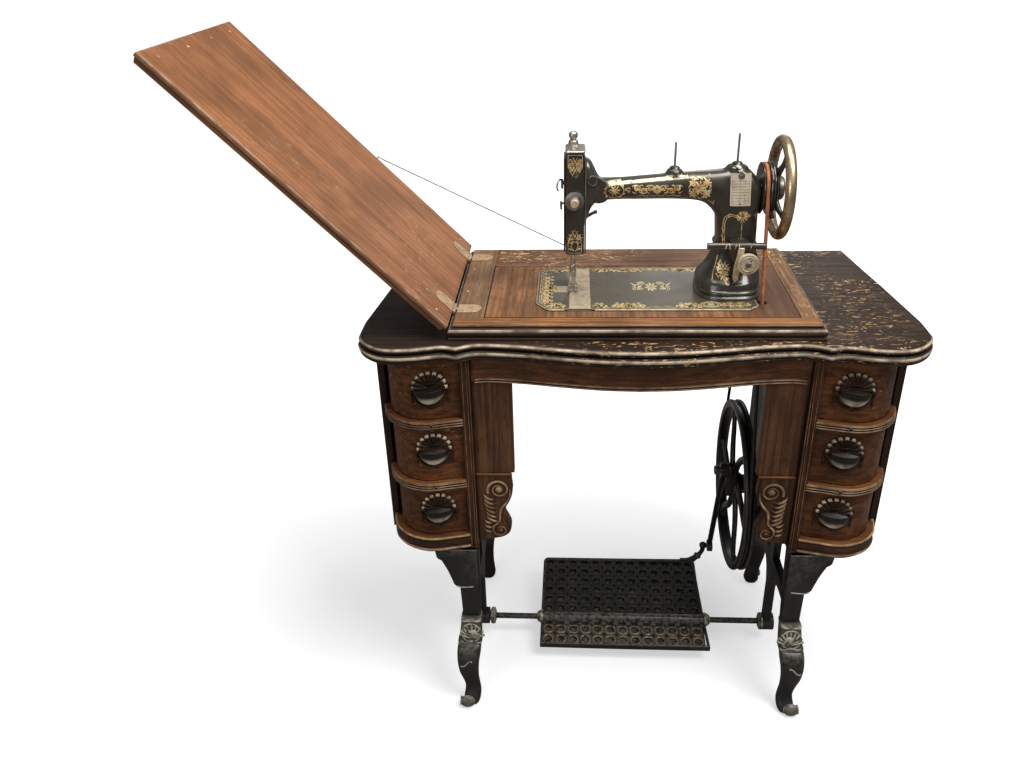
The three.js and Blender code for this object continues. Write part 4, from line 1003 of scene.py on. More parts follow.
def spiral(centre, radius, turns, start, hand, steps=40, end=0.12):
    """A flat volute from its outer end to its eye, as (X, Z) points."""
    points = []
    for i in range(steps + 1):
        t = i / steps
        r = radius * (1 - (1 - end) * t ** 0.85)
        a = start + hand * 2 * pi * turns * t
        points.append((centre[0] + r * cos(a), centre[1] + r * sin(a)))
    return points


def make_bracket(name, side):
    refined(f"knee_board_{name}", WOOD["knee"], 0.6)
    refined(f"scroll_bracket_{name}", WOOD["bracket"], 1.2)
    face = -185.2
    carving = Shape()

    def on(points, lift=0.0):
        return [(side * x, face - lift, z) for x, z in points]

    big = spiral((233.6, 461), 20.5, 2.1, radians(-20), 1)
    carving.tube(on(big, 0.4), lambda t: 2.9 - 1.4 * t, 8, wear_and_painted_light=0.7)
    carving.lathe([(0, -1), (6.5, -0.5), (5.5, 2.4), (2.5, 3.4), (0, 3.6)], (side * 233.6, face, 461), FORWARD, 18,
        wear_and_painted_light=(0, -0.4, 0.5, 1, 1))
    small = spiral((232.5, 374), 15.5, 1.7, radians(70), -1)
    carving.tube(on(small, 0.4), lambda t: 2.6 - 1.2 * t, 8, wear_and_painted_light=0.6)
    carving.lathe([(0, -1), (4.6, -0.4), (3.6, 2.0), (0, 2.8)], (side * 232.5, face, 374), FORWARD, 16,
        wear_and_painted_light=(0, -0.3, 0.6, 1))
    stem = spline([(213.5, 462), (215, 446), (222, 432), (230, 421), (233, 408), (233.5, 396), (238, 389.4)], 6)
    carving.tube(on(stem, 0.6), lambda t: 3.0 - 1.2 * abs(2 * t - 1), 8, wear_and_painted_light=0.6)
    for k in range(6):
        z = 446 - 9.2 * k
        bend = spline([(262 - 0.6 * k, z + 9), (257 - k, z - 1), (247 - 1.2 * k, z - 6.5), (232 + 0.5 * k, z - 3.6)], 6)
        carving.tube(on(bend, 0.2), lambda t: 0.8 + 2.6 * sin(pi * min(t * 1.1, 1)) ** 0.8, 8, flat=0.9, wear_and_painted_light=0.55)
    for k in range(3):
        bend = spline([(264, 400 - 11 * k), (257, 392 - 10 * k), (250, 390 - 10 * k), (246, 393 - 11 * k)], 5)
        carving.tube(on(bend, 0.2), lambda t: 0.8 + 2.2 * sin(pi * t), 8, wear_and_painted_light=0.5)
    border = [(p.x, p.y) for p in spline([(214.5, 489), (212.6, 474), (211.6, 459), (216.5, 439), (226.5, 417),
        (221.6, 402), (215.6, 386), (218.6, 370), (229, 361.5), (243, 357.5)], 6)]
    carving.tube(on(border, 0.1), 1.7, 6, wear_and_painted_light=0.35)
    carving.points = [Vector((p.x, face - (face - p.y) * 1.45, p.z)) for p in carving.points]
    # Paler the further the carving stands off the board, as wear and painted highlight; darker near the board, as
    # painted shade in its hollows.
    carving.wear_and_painted_light = [max(-0.9, min(1.0, (face - p.y - 2.1) / 1.5)) for p in carving.points]
    build(f"bracket_carving_{name}", carving, WOOD["bracket"], "cabinet", angle=70)
    top = Shape().block(*sorted((side * 209, side * 271.4)), -188.6, -184, 490.2, 493.8)
    build(f"bracket_cap_{name}", top, WOOD["shelf"], "cabinet", bevel=1.2)


make_apron()
for bracket_name, bracket_side in SIDES:
    make_bracket(bracket_name, bracket_side)


# ------------------------------------------------------------------ cast-iron base
def squared(count, power):
    """Points of a unit ring whose corners get squarer as power grows."""
    ring = []
    for i in range(count):
        a = 2 * pi * (i + 0.5) / count
        c, s = cos(a), sin(a)
        ring.append((copysign(abs(c) ** (2 / power), c), copysign(abs(s) ** (2 / power), s)))
    return ring


def ring_at(x0, x1, y0, y1, z, power, count=28):
    """A level rounded-square ring: power 2 is an ellipse, larger powers have squarer corners."""
    return [((x0 + x1) / 2 + u * (x1 - x0) / 2, (y0 + y1) / 2 + v * (y1 - y0) / 2, z) for u, v in squared(count, power)]


# Each row: height, inner and outer X, front and back Y, squareness.
LEG_SHAFT = ((341.4, 274.5, 312.5, -205, -172, 7), (258, 274, 311, -205, -180, 7), (192, 275.5, 308, -208.6, -186.5, 7))
LEG_BLOCK = ((190.4, 275.2, 308, -209.5, -187, 6), (189.6, 273.2, 310.6, -220.4, -187, 5),
    (187.4, 272.6, 311.4, -222.4, -188, 5), (185.4, 273.6, 311, -220.8, -189, 5), (172, 273.4, 312.4, -223.4, -192,
    5), (158, 273.4, 314.4, -225.6, -196, 5), (145, 273.6, 316.6, -228.4, -200, 5), (143, 273, 318, -230, -202, 5),
    (140.4, 273, 318.4, -230.6, -203, 4.5), (138.4, 274.4, 317.6, -229.4, -204.6, 4))
LEG_CURVE = ((138.8, 275, 317.6, -231, -204, 4), (134, 275, 318.8, -237, -207, 3.4), (124, 275.6, 320, -243, -213, 3),
    (108, 278.4, 320.2, -246, -219, 3), (92, 280.4, 319.6, -243.6, -223, 3), (75, 281.4, 317.8, -240, -225, 3),
    (58, 281.4, 313.4, -236.6, -224.8, 2.8), (45, 280.4, 310, -235.4, -223, 2.8), (35, 279.4, 308.6, -236.6, -221.6,
    2.8), (26, 278.8, 309.4, -240, -221, 2.8), (17, 279.2, 311, -246, -221.6, 2.8),
    (9, 281, 310.6, -250, -223.6, 2.6), (3, 284.6, 308, -249, -227, 2.6), (0.3, 289, 304, -246, -231, 2.6))


def leg_rows(table, side, back, smooth=0):
    rows = [Vector(r) for r in table]
    if smooth:
        rows = spline(rows, smooth)
    result = []
    for z, x0, x1, front, rear, power in rows:
        xs = sorted((side * x0, side * x1))
        ys = (REAR - rear, REAR - front) if back else (front, rear)
        result.append(ring_at(xs[0], xs[1], ys[0], ys[1], z, power))
    return result


def make_leg(name, side, back):
    place = f"{name}_{'back' if back else 'front'}"
    build(f"leg_shaft_{place}", Shape().grid(leg_rows(LEG_SHAFT, side, back), around=True, caps=True), IRON,
        "cabinet", bevel=1.2)
    block = Shape().grid(leg_rows(LEG_BLOCK, side, back), around=True, caps=True)
    build(f"leg_block_{place}", block, IRON_WEAR_AND_HIGHLIGHT, "cabinet", angle=40)
    curve = Shape().grid(leg_rows(LEG_CURVE, side, back, 3), around=True, caps=True)
    # Paler toward the top of the curve: wear and painted highlight.
    curve.wear_and_painted_light = [max(0.0, min(0.75, (p.z - 104) / 40)) for p in curve.points]
    build(f"leg_curve_{place}", curve, IRON, "cabinet", angle=60)
    hand = -1 if not back else 1

    def on(x, z, lift=0.0):
        y = -221.2 - (186 - z) * 0.172 if z > 139 else -243.5
        y -= lift
        return (side * x, y if not back else REAR - y, z)

    # The shell relief is paled, most at its centre: painted highlight, with wear on its raised lines.
    relief = Shape()
    border = [on(292.5 + 17.4 * cos(a), 164 + 18.6 * sin(a), 0.4) for a in circle(40)]
    relief.tube(border, 1.5, 8, wear_and_painted_light=0.6, closed=True)
    for k in range(9):
        a = radians(20 + 17.5 * k)
        line = [on(291 + r * cos(a), 152.5 + r * sin(a), 0.5 + 1.1 * sin(pi * min(1, r / 30)))
            for r in (3, 9, 16, 23, 27.5 - 0.16 * abs(k - 4) ** 2)]
        relief.tube(line, lambda t: 1.0 + 1.7 * t, 8, wear_and_painted_light=0.5)
    centre = Vector(on(289, 163, 1.0))
    relief.lathe([(0, 0), (9.4, 0.4), (8.6, 2.2), (5, 3.8), (0, 4.4)], centre, Vector((0, hand, 0)), 20,
        wear_and_painted_light=(0.2, 0.5, 0.9, 1, 1))
    for k in (-1, 1):
        curl = spline([(292.5 + k * 19, 147, 0), (292.5 + k * 15, 143.6, 0), (292.5 + k * 7, 144.6, 0),
            (292.5, 147.5, 0)], 4)
        relief.tube([on(p.x, p.y, 0.6) for p in curl], 1.3, 6, wear_and_painted_light=0.7)
    build(f"leg_shell_{place}", relief, IRON_WEAR_AND_HIGHLIGHT, "cabinet", angle=70)
    scroll = spline([(314, 99), (309, 97.6), (305, 101), (301, 106), (297, 110), (293, 111), (292, 107.6)], 5)

    def shin(p):
        y = -244.6 - 0.5 * cos((p.y - 108) / 20)
        return (side * p.x, y if not back else REAR - y, p.y)

    # The shin scroll is paled all along: wear and painted highlight.
    marks = Shape().tube([shin(p) for p in scroll], lambda t: 1.9 - 0.8 * abs(2 * t - 1), 6, wear_and_painted_light=1.0)
    build(f"leg_scroll_{place}", marks, IRON_WEAR_AND_HIGHLIGHT, "cabinet", angle=70)
    toe = Shape()
    rows = []
    for i in range(13):
        b = pi * i / 12
        row = []
        for j in range(24):
            a = 2 * pi * j / 24
            swell = 1 + 0.05 * cos(3 * a + 1)
            y = -250.4 - 9.3 * sin(b) * sin(a) * swell
            row.append((side * (304 - 14.6 * cos(b)), y if not back else REAR - y,
                13.4 + 12.6 * sin(b) * cos(a) * swell))
        rows.append(row)
    toe.grid(rows, around=True)
    toe.wear_and_painted_light = [0.08] * len(toe.points)
    # The toe's spiral is paled: wear and painted highlight.
    eye = spiral((0, 0), 9.4, 1.6, 0.4, 1, 30)
    line = [(side * (317.1 - 0.012 * (u * u + v * v)), (-250.4 + u) if not back else REAR + 250.4 - u, 13.4 + v)
        for u, v in eye]
    toe.tube(line, 1.3, 6, wear_and_painted_light=0.9)
    build(f"leg_toe_{place}", toe, IRON_WEAR_AND_HIGHLIGHT, "cabinet", angle=70)


def make_base_end(name, side):
    refined(f"base_end_{name}", IRON, 1.6, f"base_web_{name}", ((-181, (0, -1, 0)), (73, (0, 1, 0))))
    make_leg(name, side, False)
    make_leg(name, side, True)
    outline = ((352, 341.4), (349.4, 324), (346, 320), (341, 317), (335, 304), (330, 292), (325, 276), (321, 263),
        (316, 257.6), (311, 256), (285, 257.6), (276, 262), (276, 341.4))
    flare = Shape().prism(sided_line(outline, side), -205.8, -176, "y")
    build(f"base_flare_{name}", flare, IRON, "cabinet", bevel=1.6)
    # A pale line along the flare's lower edge: wear and painted highlight.
    line = Shape().tube([(side * x, -206.4, z) for x, z in ((285, 258.4), (292, 257.6), (300, 257), (309, 256.6),
        (316, 259.4))], 1.1, 6, wear_and_painted_light=1.0)
    build(f"base_flare_line_{name}", line, IRON_WEAR_AND_HIGHLIGHT, "cabinet")
    rear = Shape().block(*sorted((side * 275, side * 352)), 68, 96, 336, 341.4)
    build(f"base_flange_{name}", rear, IRON, "cabinet", bevel=1)
    collar = Shape().lathe([(6.6, 0), (12, 0), (16.5, 2), (17.5, 6), (16, 10), (9, 12), (6.6, 12), (6.6, 0)],
        (side * 274, BASE_MID, ROD_Z), "x", 32)
    build(f"base_collar_{name}", collar, IRON_WEAR_AND_HIGHLIGHT, "cabinet")


for base_name, base_side in SIDES:
    make_base_end(base_name, base_side)
refined("treadle_rod", IRON, 0.5)

# ------------------------------------------------------------------ treadle
SLOPE = radians(9.2)


def on_treadle(point):
    u, v, w = point
    return Vector((u, BASE_MID + v * cos(SLOPE) - w * sin(SLOPE), ROD_Z + v * sin(SLOPE) + w * cos(SLOPE)))


def lattice_cell(shape, cx, cy, hole=9.0, corner=3.4, half=12.5, top=2.6, low=-3.0, edge=1.0):
    """One square of the treadle's lattice: a round recess in the middle and quarter recesses at its corners."""
    outer = []
    for k in range(4):
        turn = k * pi / 2
        flat = half - corner
        side = [(half, -flat + 2 * flat * i / 3) for i in range(4)]
        arc = [(half - corner * sin(t), half - corner * cos(t)) for t in (pi / 6, pi / 3)]
        for u, v in side + arc:
            outer.append(at_angle(turn, u, v))
    count = len(outer)
    angles = [atan2(v, u) for u, v in outer]
    rows = [[(cx + u, cy + v, top) for u, v in outer]]
    for r, w in ((hole + 1.5, top), (hole + 0.6, top + edge), (hole, top + edge * 0.7), (hole - 0.5, low)):
        rows.append([(cx + r * cos(a), cy + r * sin(a), w) for a in angles])
    shape.grid(rows, around=True, wear_and_painted_light=[0.0] * count)
    # Each hole's raised rim is paled as wear and painted highlight; its floor goes near black as painted shade.
    shape.wear_and_painted_light[-5 * count:] = [0.0] * count + [0.2] * count + [0.9] * count + [0.3] * count + [-1.0] * count


def make_treadle():
    pan = Shape().block(-167, 163, -69, 157, -5.5, -2.9)
    build("treadle_pan", pan, IRON, "treadle", move=on_treadle)
    front, rear = Shape(), Shape()
    for column in range(13):
        x = -153 + 25.1 * column
        for v in (-57.5, -32.5):
            lattice_cell(front, x, v, 8.8)
        for k in range(6):
            lattice_cell(rear, x, 20 + 25 * k, 7.2, 2.6, edge=1.6)
    # The front rows are browner and lighter than the rear rows: wear and painted highlight.
    build("treadle_lattice_front", front, CELL_IRON, "treadle", move=on_treadle, angle=50)
    build("treadle_lattice_rear", rear, IRON, "treadle", move=on_treadle, angle=50)
    # Each dimple in the front band has a near-black floor of painted shade and a rim paled as wear and painted
    # highlight.
    band = Shape()
    band.prism([(-20, 2.4), (-10, 3), (-10, -1), (-20, -3)], -167, 163, "x")
    for column in range(13):
        band.lathe([(0, 0.2), (6.2, 0.2), (7.2, 1.2), (8.2, 0.4), (8.4, -1)], (-153 + 25.1 * column, -17.2, 2.6), "z",
            20, wear_and_painted_light=(-1, -1, 0.7, 0.3, 0))
    build("treadle_front_band", band, IRON, "treadle", move=on_treadle, angle=50)
    outline = spline([(-169, -70, 0), (0, -70.6, 0), (170, -70, 0)], 3)[:-1] + spline([(170, -70, 0), (166, 0, 0),
        (162.5, 80, 0), (160, 150, 0)], 3)
    outline += [Vector((154, 158, 0)), Vector((0, 158.4, 0)), Vector((-160, 158, 0)), Vector((-167, 150, 0)),
        Vector((-168, 40, 0))]
    rows = []
    count = len(outline)
    for i, here in enumerate(outline):
        before, after = (here - outline[i - 1]).normalized(), (outline[(i + 1) % count] - here).normalized()
        out = mitre(before, after, 0.4)
        lift = 2.2 * max(0.0, (here.x - 60) / 100) if here.y > 140 else 0.0
        wide = 8.6 if here.y > 140 else 4.6
        rows.append([(here.x + out.x * d, here.y + out.y * d, w + lift) for d, w in ((0.6, 1), (0.2, 3.6),
            (-1.2, 4.8), (-wide + 1.4, 4.8), (-wide, 3.4), (-wide, -4), (0.6, -9))])
    rim = Shape().grid(rows, around=True, along=True, wear_and_painted_light=(0, 0.5, 0.9, 0.3, 0, 0, 0))
    build("treadle_rim", rim, IRON, "treadle", move=on_treadle, bevel=0.8, angle=50)
    ridge = Shape().prism([(-9, 1.6), (-3, 6.6), (-1.2, 8.2), (0.8, 8.2), (4, 5), (9, 2), (9, -3), (-9, -3)], -166,
        166, "x")
    build("treadle_ridge", ridge, IRON, "treadle", move=on_treadle, bevel=0.7)
    # A pale line on the ridge's crest: wear and painted highlight.
    crest = Shape().tube([(-160, -0.4, 8.1), (-60, -0.4, 8.3), (60, -0.4, 8.3), (158, -0.4, 8.1)], 1.05, 6, wear_and_painted_light=1.0)
    build("treadle_ridge_line", crest, IRON_WEAR_AND_HIGHLIGHT, "treadle", move=on_treadle)
    ends = Shape()
    for x, way in ((-165, -1), (165, 1)):
        ends.lathe([(6.7, 0), (14, 0), (14.6, 3), (11.5, 8), (9.6, 10.5), (8, 12), (6.7, 12), (6.7, 0)], (x, 0, 0),
            Vector((way, 0, 0)), 28, wear_and_painted_light=(0, 0.2, 0.5, 0.4, 0.5, 0.3, 0, 0))
    build("treadle_bosses", ends, IRON_WEAR_AND_HIGHLIGHT, "treadle", move=on_treadle)
    sleeve = Shape().lathe([(6.7, -166), (11, -166), (11, 166), (6.7, 166), (6.7, -166)], (0, 0, -1), "x", 28)
    build("treadle_sleeve", sleeve, IRON, "treadle", move=on_treadle)
    arm = spline([(132, 98, 77), (148, 99, 78), (158, 101, 82.5), (166, 103, 88), (173, 104.6, 95), (178, 105, 104),
        (179, 105, 114)], 5)
    limb = Shape().tube(arm, lambda t: 8.5 - 3.6 * min(1, t * 1.4), 12, wear_and_painted_light=0.1)
    limb.lathe([(0, -8), (4.6, -7), (7.4, -3), (8, 0), (7.4, 3), (4.6, 7), (0, 8)], (179, 105, 118), "x", 20)
    limb.lathe([(4.5, -2.4), (8, -2.4), (8.6, 0), (8, 2.4), (4.5, 2.4), (4.5, -2.4)], (168.5, 103.6, 90.4),
        Vector((0.6, 0.12, 0.75)), 18)
    build("treadle_arm", limb, IRON, "treadle", ["treadle"], angle=50)


# ------------------------------------------------------------------ drive wheel, pitman, hanger and belt
HEAD_Y = -34
SHAFT_Z = 945.7
WHEEL = (20, 338)


def make_drive():
    rim = [(152, 204.6), (154, 203.4), (161, 203), (166, 203.6), (167, 205), (167, 209), (163, 210.6), (158.5, 211.6),
        (157.8, 214), (158.5, 216.6), (163, 217.6), (167, 219), (167, 223), (166, 224.6), (161, 225), (154, 224.6),
        (152, 223), (150.6, 214), (152, 204.6)]
    wheel = Shape().lathe(rim, (0, *WHEEL), "x", 96)
    hub = [(9.4, 207), (20, 207), (25.4, 208.6), (26, 212), (24, 222), (19, 228), (18, 240), (16, 245), (9.4, 245),
        (9.4, 207)]
    wheel.lathe(hub, (0, *WHEEL), "x", 40)
    for k in range(6):
        turn = pi / 3 * k
        line = []
        for u, v in [(p.x, p.y) for p in spline([(12, -4), (40, -13), (75, -9), (110, 4), (138, 10), (153, 5)], 6)]:
            line.append((213, WHEEL[0] + u * cos(turn) - v * sin(turn), WHEEL[1] + u * sin(turn) + v * cos(turn)))
        wheel.tube(line, lambda t: 9.4 - 2.6 * t + 2.2 * max(0, t - 0.85) / 0.15, 12, flat=0.62, up=(1, 0, 0))
    build("drive_wheel_casting", wheel, IRON, "drive_wheel", ["drive_wheel"], angle=50)
    crank = [(-15, -18), (-9, -24), (9, -24), (15, -18), (14, 0), (12, 26), (11, 38), (7, 45), (0, 47.4), (-7, 45),
        (-11, 38), (-12, 26), (-14, 0)]
    build("drive_crank", Shape().prism([(WHEEL[0] + u, WHEEL[1] + v) for u, v in crank], 198, 209, "x"), IRON,
        "drive_wheel", bevel=2)
    pin = Shape().lathe([(0, 172), (7, 172), (9, 173.4), (9, 180), (8, 181.6), (5.6, 182.4), (5.6, 200), (0, 200)],
        (0, WHEEL[0], WHEEL[1] + 32), "x", 28)
    build("crank_pin", pin, STEEL, "drive_wheel")
    refined("pitman", IRON, 1.0)
    refined("wheel_hanger", IRON, 1.6)
    refined("wheel_axle", STEEL, 0.8)


def belt_points():
    """The belt's closed line: an arc round the hand wheel's pulley and one round the drive wheel."""
    top, low = (HEAD_Y, SHAFT_Z, 38.3, 198), (*WHEEL, 161.8, 214)
    dy, dz = low[0] - top[0], low[1] - top[1]
    heading = atan2(dz, dy)
    spread = acos((top[2] - low[2]) / hypot(dy, dz))
    points = []
    for (y, z, r, x), start, sweep, steps in ((top, heading + spread, 2 * pi - 2 * spread, 40),
            (low, heading - spread, 2 * spread, 90)):
        for i in range(steps + 1):
            a = start + sweep * i / steps
            points.append(Vector((x, y + r * cos(a), z + r * sin(a))))
    line = []
    for i, here in enumerate(points):
        after = points[(i + 1) % len(points)]
        pieces = max(1, int((after - here).length / 12))
        line += [here.lerp(after, k / pieces) for k in range(pieces)]
    return line


def make_belt():
    line = belt_points()
    belt = Shape().tube(line, 3.0, 10, closed=True, up=(1, 0, 0.01))
    obj = free(build("belt", belt, LEATHER, "cabinet", angle=60))
    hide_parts("drive_belt")
    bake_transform(obj)


make_treadle()
make_drive()
make_belt()


# ------------------------------------------------------------------ sewing head castings
BED = (-166.2, 192.2, -127.5, 62.8, 774.7)
# Rows along the arm: X, lowest and highest Z, half the depth, squareness.
ARM_ROWS = ((-92, 884, 996, 24, 3), (-86, 892, 998, 24, 2.8), (-80, 910, 995.5, 24, 2.5), (-74, 921, 985, 23, 2.3),
    (-67, 927, 970.5, 21.6, 2.3), (-58, 929.5, 965, 21, 2.3), (-30, 931, 965, 21, 2.3), (0, 931, 967, 21, 2.4),
    (51, 931, 971, 22, 2.4), (95, 928, 974, 24, 2.6), (114, 917, 975, 26, 2.8), (126, 901, 976, 27.4, 3),
    (138, 890, 977.6, 28.4, 3), (151, 884, 979.6, 29, 3), (164, 884, 979.4, 29, 3), (174.5, 889, 975, 29, 3),
    (183.5, 898, 966, 28.4, 3), (190, 908, 959, 27, 2.8))
# Rows up the pillar: Z, left, right, front, back, squareness.
PILLAR_ROWS = ((775, 100, 204, -91, 23, 3), (780, 100.6, 204, -91, 23, 3), (786, 99.6, 204, -90, 22, 2.9),
    (792, 99.4, 204, -88.6, 20, 2.8), (799, 99.8, 204, -86, 17, 2.7), (806, 104, 203.6, -79, 11, 2.7),
    (815, 110.6, 202, -72, 4, 2.8), (825, 117, 199.6, -68, 0, 3), (842, 124, 195, -65, -3, 3.4),
    (853, 126, 193, -63.6, -4.4, 3.8), (859, 126.6, 192.4, -63.4, -4.8, 4), (866, 127.6, 192, -63, -5, 4),
    (900, 124.8, 191, -62, -6, 4), (930, 121.6, 190, -62, -6, 4), (960, 125, 187, -60, -8, 4))


def upright_ring(x, z0, z1, half_y, power, count=40):
    return [(x, HEAD_Y + u * half_y, (z0 + z1) / 2 + v * (z1 - z0) / 2) for u, v in squared(count, power)]


def make_arm():
    """The arm, pillar and needle head run together into one casting with soft inner corners."""
    arm = Shape().grid([upright_ring(*r) for r in spline(ARM_ROWS, 4)], around=True, caps=True)
    arm.grid([ring_at(x0, x1, y0, y1, z, p, 40) for z, x0, x1, y0, y1, p in spline(PILLAR_ROWS, 4)], around=True,
        caps=True)
    column = ((843, 1.2), (844.4, 0.3), (846, 0), (1008, 0), (1010.4, 0.3), (1011.4, 1.2))
    arm.grid([ring_at(-118.4 + d, -88 - d, -60 + d, -8 - d, z, 14, 40) for z, d in column], around=True, caps=True)
    arm.lathe([(0, 958), (15, 958), (14.4, 972), (12, 977), (8.6, 979), (0, 979.4)], (55, HEAD_Y, 0), "z", 32)
    arm.lathe([(0, 955), (21, 955), (21, 970), (19.8, 976.5), (16, 982), (10, 985.2), (0, 986)], (153, HEAD_Y, 0),
        "z", 32)
    arm.lathe([(0, 178), (17, 178), (17, 186), (16, 188), (0, 188)], (0, HEAD_Y, SHAFT_Z), "x", 32)
    arm.lathe([(0, -1), (21.5, -1), (21.5, 0.6), (20.6, 1.4), (19.4, 1.4), (0, 1)], (-68, -53, 950),
        Vector((-0.35, -1, 0)), 32)
    obj = build("arm_casting", arm, JAPAN, "head", ["arm"], angle=60)
    remesh = obj.modifiers.new("unite", "REMESH")
    remesh.mode = "VOXEL"
    remesh.voxel_size = 0.0015
    soften = obj.modifiers.new("soften", "SMOOTH")
    soften.iterations = 5
    bpy.context.view_layer.update()
    solid = bpy.data.meshes.new_from_object(obj.evaluated_get(bpy.context.evaluated_depsgraph_get()))
    obj.modifiers.clear()
    solid.materials.clear()
    solid.materials.append(JAPAN)
    obj.data = solid
    shade(obj, 75)
    return obj


def make_bed():
    left, right, front, back, _ = BED
    outline = [(left, front + 27), (left + 19, front), (right - 12, front), (right - 9.4, front + 8),
        (right, front + 12), (right, back), (left + 20, back), (left, back - 19)]
    fine = []
    for i, point in enumerate(outline):
        a, b, c = Vector(outline[i - 1]), Vector(point), Vector(outline[(i + 1) % len(outline)])
        r = 4.5
        start, end = b + (a - b).normalized() * r, b + (c - b).normalized() * r
        fine += [tuple((1 - t) ** 2 * start + 2 * t * (1 - t) * b + t * t * end) for t in (0, 0.25, 0.5, 0.75, 1)]
    lip = ((-0.9, 773), (-0.9, 774.85), (0.2, 774.85), (0.6, 774.2), (0.6, 773))
    corner = len(fine) // len(outline)
    shape = Shape().sweep([(-70, front)] + fine[2 * corner:6 * corner] + [(-70, back)], lip)
    shape.sweep([(-120, back)] + fine[6 * corner:] + fine[:2 * corner] + [(-120, front)], lip)
    build("bed_edge", shape, PLATE_STEEL, "head", angle=60)
    refined("bed", BED_JAPAN_SHEEN, 0.4, name="bed_casting")
    seam = Shape().block(-46.7, -46.3, -123, 58, 774.7, 774.82)
    seam.wear_and_painted_light = [-1.0] * 8
    build("bed_seam", seam, JAPAN, "head")
    steps = ((0, 774.8), (0, 777.4), (-1.4, 779.6), (-4, 780.6), (-4.4, 782), (-2.4, 783.4), (-1.6, 785.6), (-3, 788),
        (-7, 790.6), (-14, 793))
    ring = [(x, y) for x, y, _ in ring_at(98.4, 206, -95, 27, 0, 3, 96)]
    build("pillar_base_rings", plate(ring, steps, (0, 0.1, 0.3, -0.8, -0.9, 0.2, 0.5, 0.3, 0, 0)), JAPAN, "head",
        angle=60)
    collar = ((0, 853.4), (1.6, 854), (2.2, 856), (1.6, 858.4), (0, 859.4), (-2, 859.4), (-2, 853.4))
    ring = [(x, y) for x, y, _ in ring_at(126.6, 192.6, -63.2, -4.6, 0, 4, 72)]
    band = Shape().sweep(ring, collar, closed=True, wear_and_painted_light=(0, 0.2, 0.4, 0.2, 0, 0, 0))
    build("pillar_collar", band, JAPAN, "head", angle=60)


ARM = make_arm()
make_bed()
ARM_TREE = BVHTree.FromPolygons([v.co.copy() for v in ARM.data.vertices], [tuple(p.vertices)
    for p in ARM.data.polygons])


# ------------------------------------------------------------------ gold transfers
def curl(cx, cy, radius, turns, start, hand, width, steps=18):
    """A tapering scroll: [u, v, width] along a spiral."""
    stroke = []
    for i in range(steps + 1):
        t = i / steps
        r = radius * (1 - 0.86 * t)
        a = start + hand * 2 * pi * turns * t
        stroke.append((cx + r * cos(a), cy + r * sin(a), width * (0.35 + 0.65 * sin(pi * min(1, 0.15 + t)))))
    return stroke


def leaf_stroke(u, v, angle, length, width, bend=0.0):
    """A pointed leaf: [u, v, width] from its stem to its tip."""
    stroke = []
    for i in range(9):
        t = i / 8
        a = angle + bend * t
        stroke.append((u + length * t * cos(a), v + length * t * sin(a), width * sin(pi * min(1,
            0.08 + 0.92 * t)) ** 0.8))
    return stroke


def mirror_strokes(strokes, centre):
    return strokes + [[(2 * centre - u, v, w) for u, v, w in stroke] for stroke in strokes]


def rosette(u, v, radius, petals=8, width=1.6):
    strokes = [leaf_stroke(u + 0.2 * radius * cos(a), v + 0.2 * radius * sin(a), a, radius * 0.78, width, 0.3)
        for a in circle(petals)]
    strokes.append([(u + 0.16 * radius * cos(a), v + 0.16 * radius * sin(a), width * 0.8) for a in circle(12, 1)])
    return strokes


def crest(u, v, wide, tall, up=1):
    """A symmetrical shield of leaves and scrolls, standing up or hanging down."""
    half = []
    for k in range(4):
        a = radians(90 - 26 * k) * up
        half.append(leaf_stroke(u + 0.06 * wide * k, v, a, tall * (0.98 - 0.16 * k), 1.6, -0.35 * up))
    half.append(curl(u + 0.3 * wide, v - 0.16 * tall * up, 0.2 * wide, 1.1, radians(80) * up, -up, 1.1))
    half.append(curl(u + 0.27 * wide, v + 0.36 * tall * up, 0.15 * wide, 1.0, radians(-60) * up, up, 1.0))
    half.append(leaf_stroke(u + 0.12 * wide, v - 0.1 * tall * up, radians(-35) * up, 0.42 * wide, 1.7, -0.8 * up))
    half.append(leaf_stroke(u + 0.04 * wide, v - 0.14 * tall * up, radians(-72) * up, 0.34 * tall, 1.3, 0.5 * up))
    return mirror_strokes(half, u)


def garland(u0, u1, v, height, count, width=1.2):
    """A running line of small scrolls and leaves between u0 and u1."""
    strokes = []
    step = (u1 - u0) / count
    for k in range(count):
        u = u0 + (k + 0.5) * step
        flip = 1 if k % 2 else -1
        strokes.append(curl(u, v, 0.42 * height, 1.0, radians(200), flip, width, 12))
        strokes.append(leaf_stroke(u - 0.4 * step, v - 0.2 * height * flip, radians(25 * flip), step * 0.7, width,
            0.6 * flip))
        strokes.append(leaf_stroke(u + 0.1 * step, v + 0.12 * height * flip, radians(110 * flip), height * 0.42,
            width * 0.8, 0.4))
    return strokes


def ribbon(name, strokes, place, material=None, body="head"):
    """Lays flat strokes on a surface: place turns (u, v) into a point just above it, or None where there is none."""
    shape = Shape()
    for stroke in strokes:
        rows = []
        for i, (u, v, width) in enumerate(stroke):
            before, after = stroke[max(i - 1, 0)], stroke[min(i + 1, len(stroke) - 1)]
            along = Vector((after[0] - before[0], after[1] - before[1]))
            if along.length < 1e-6:
                continue
            side = Vector((-along.y, along.x)).normalized() * max(width, 0.12) / 2
            pair = [place(u + side.x * s, v + side.y * s) for s in (-1, 0, 1)]
            if None in pair:
                if len(rows) > 1:
                    shape.grid(rows)
                rows = []
                continue
            rows.append(pair)
        if len(rows) > 1:
            shape.grid(rows)
    if shape.faces:
        build(name, shape, material or GOLD, body, angle=80)


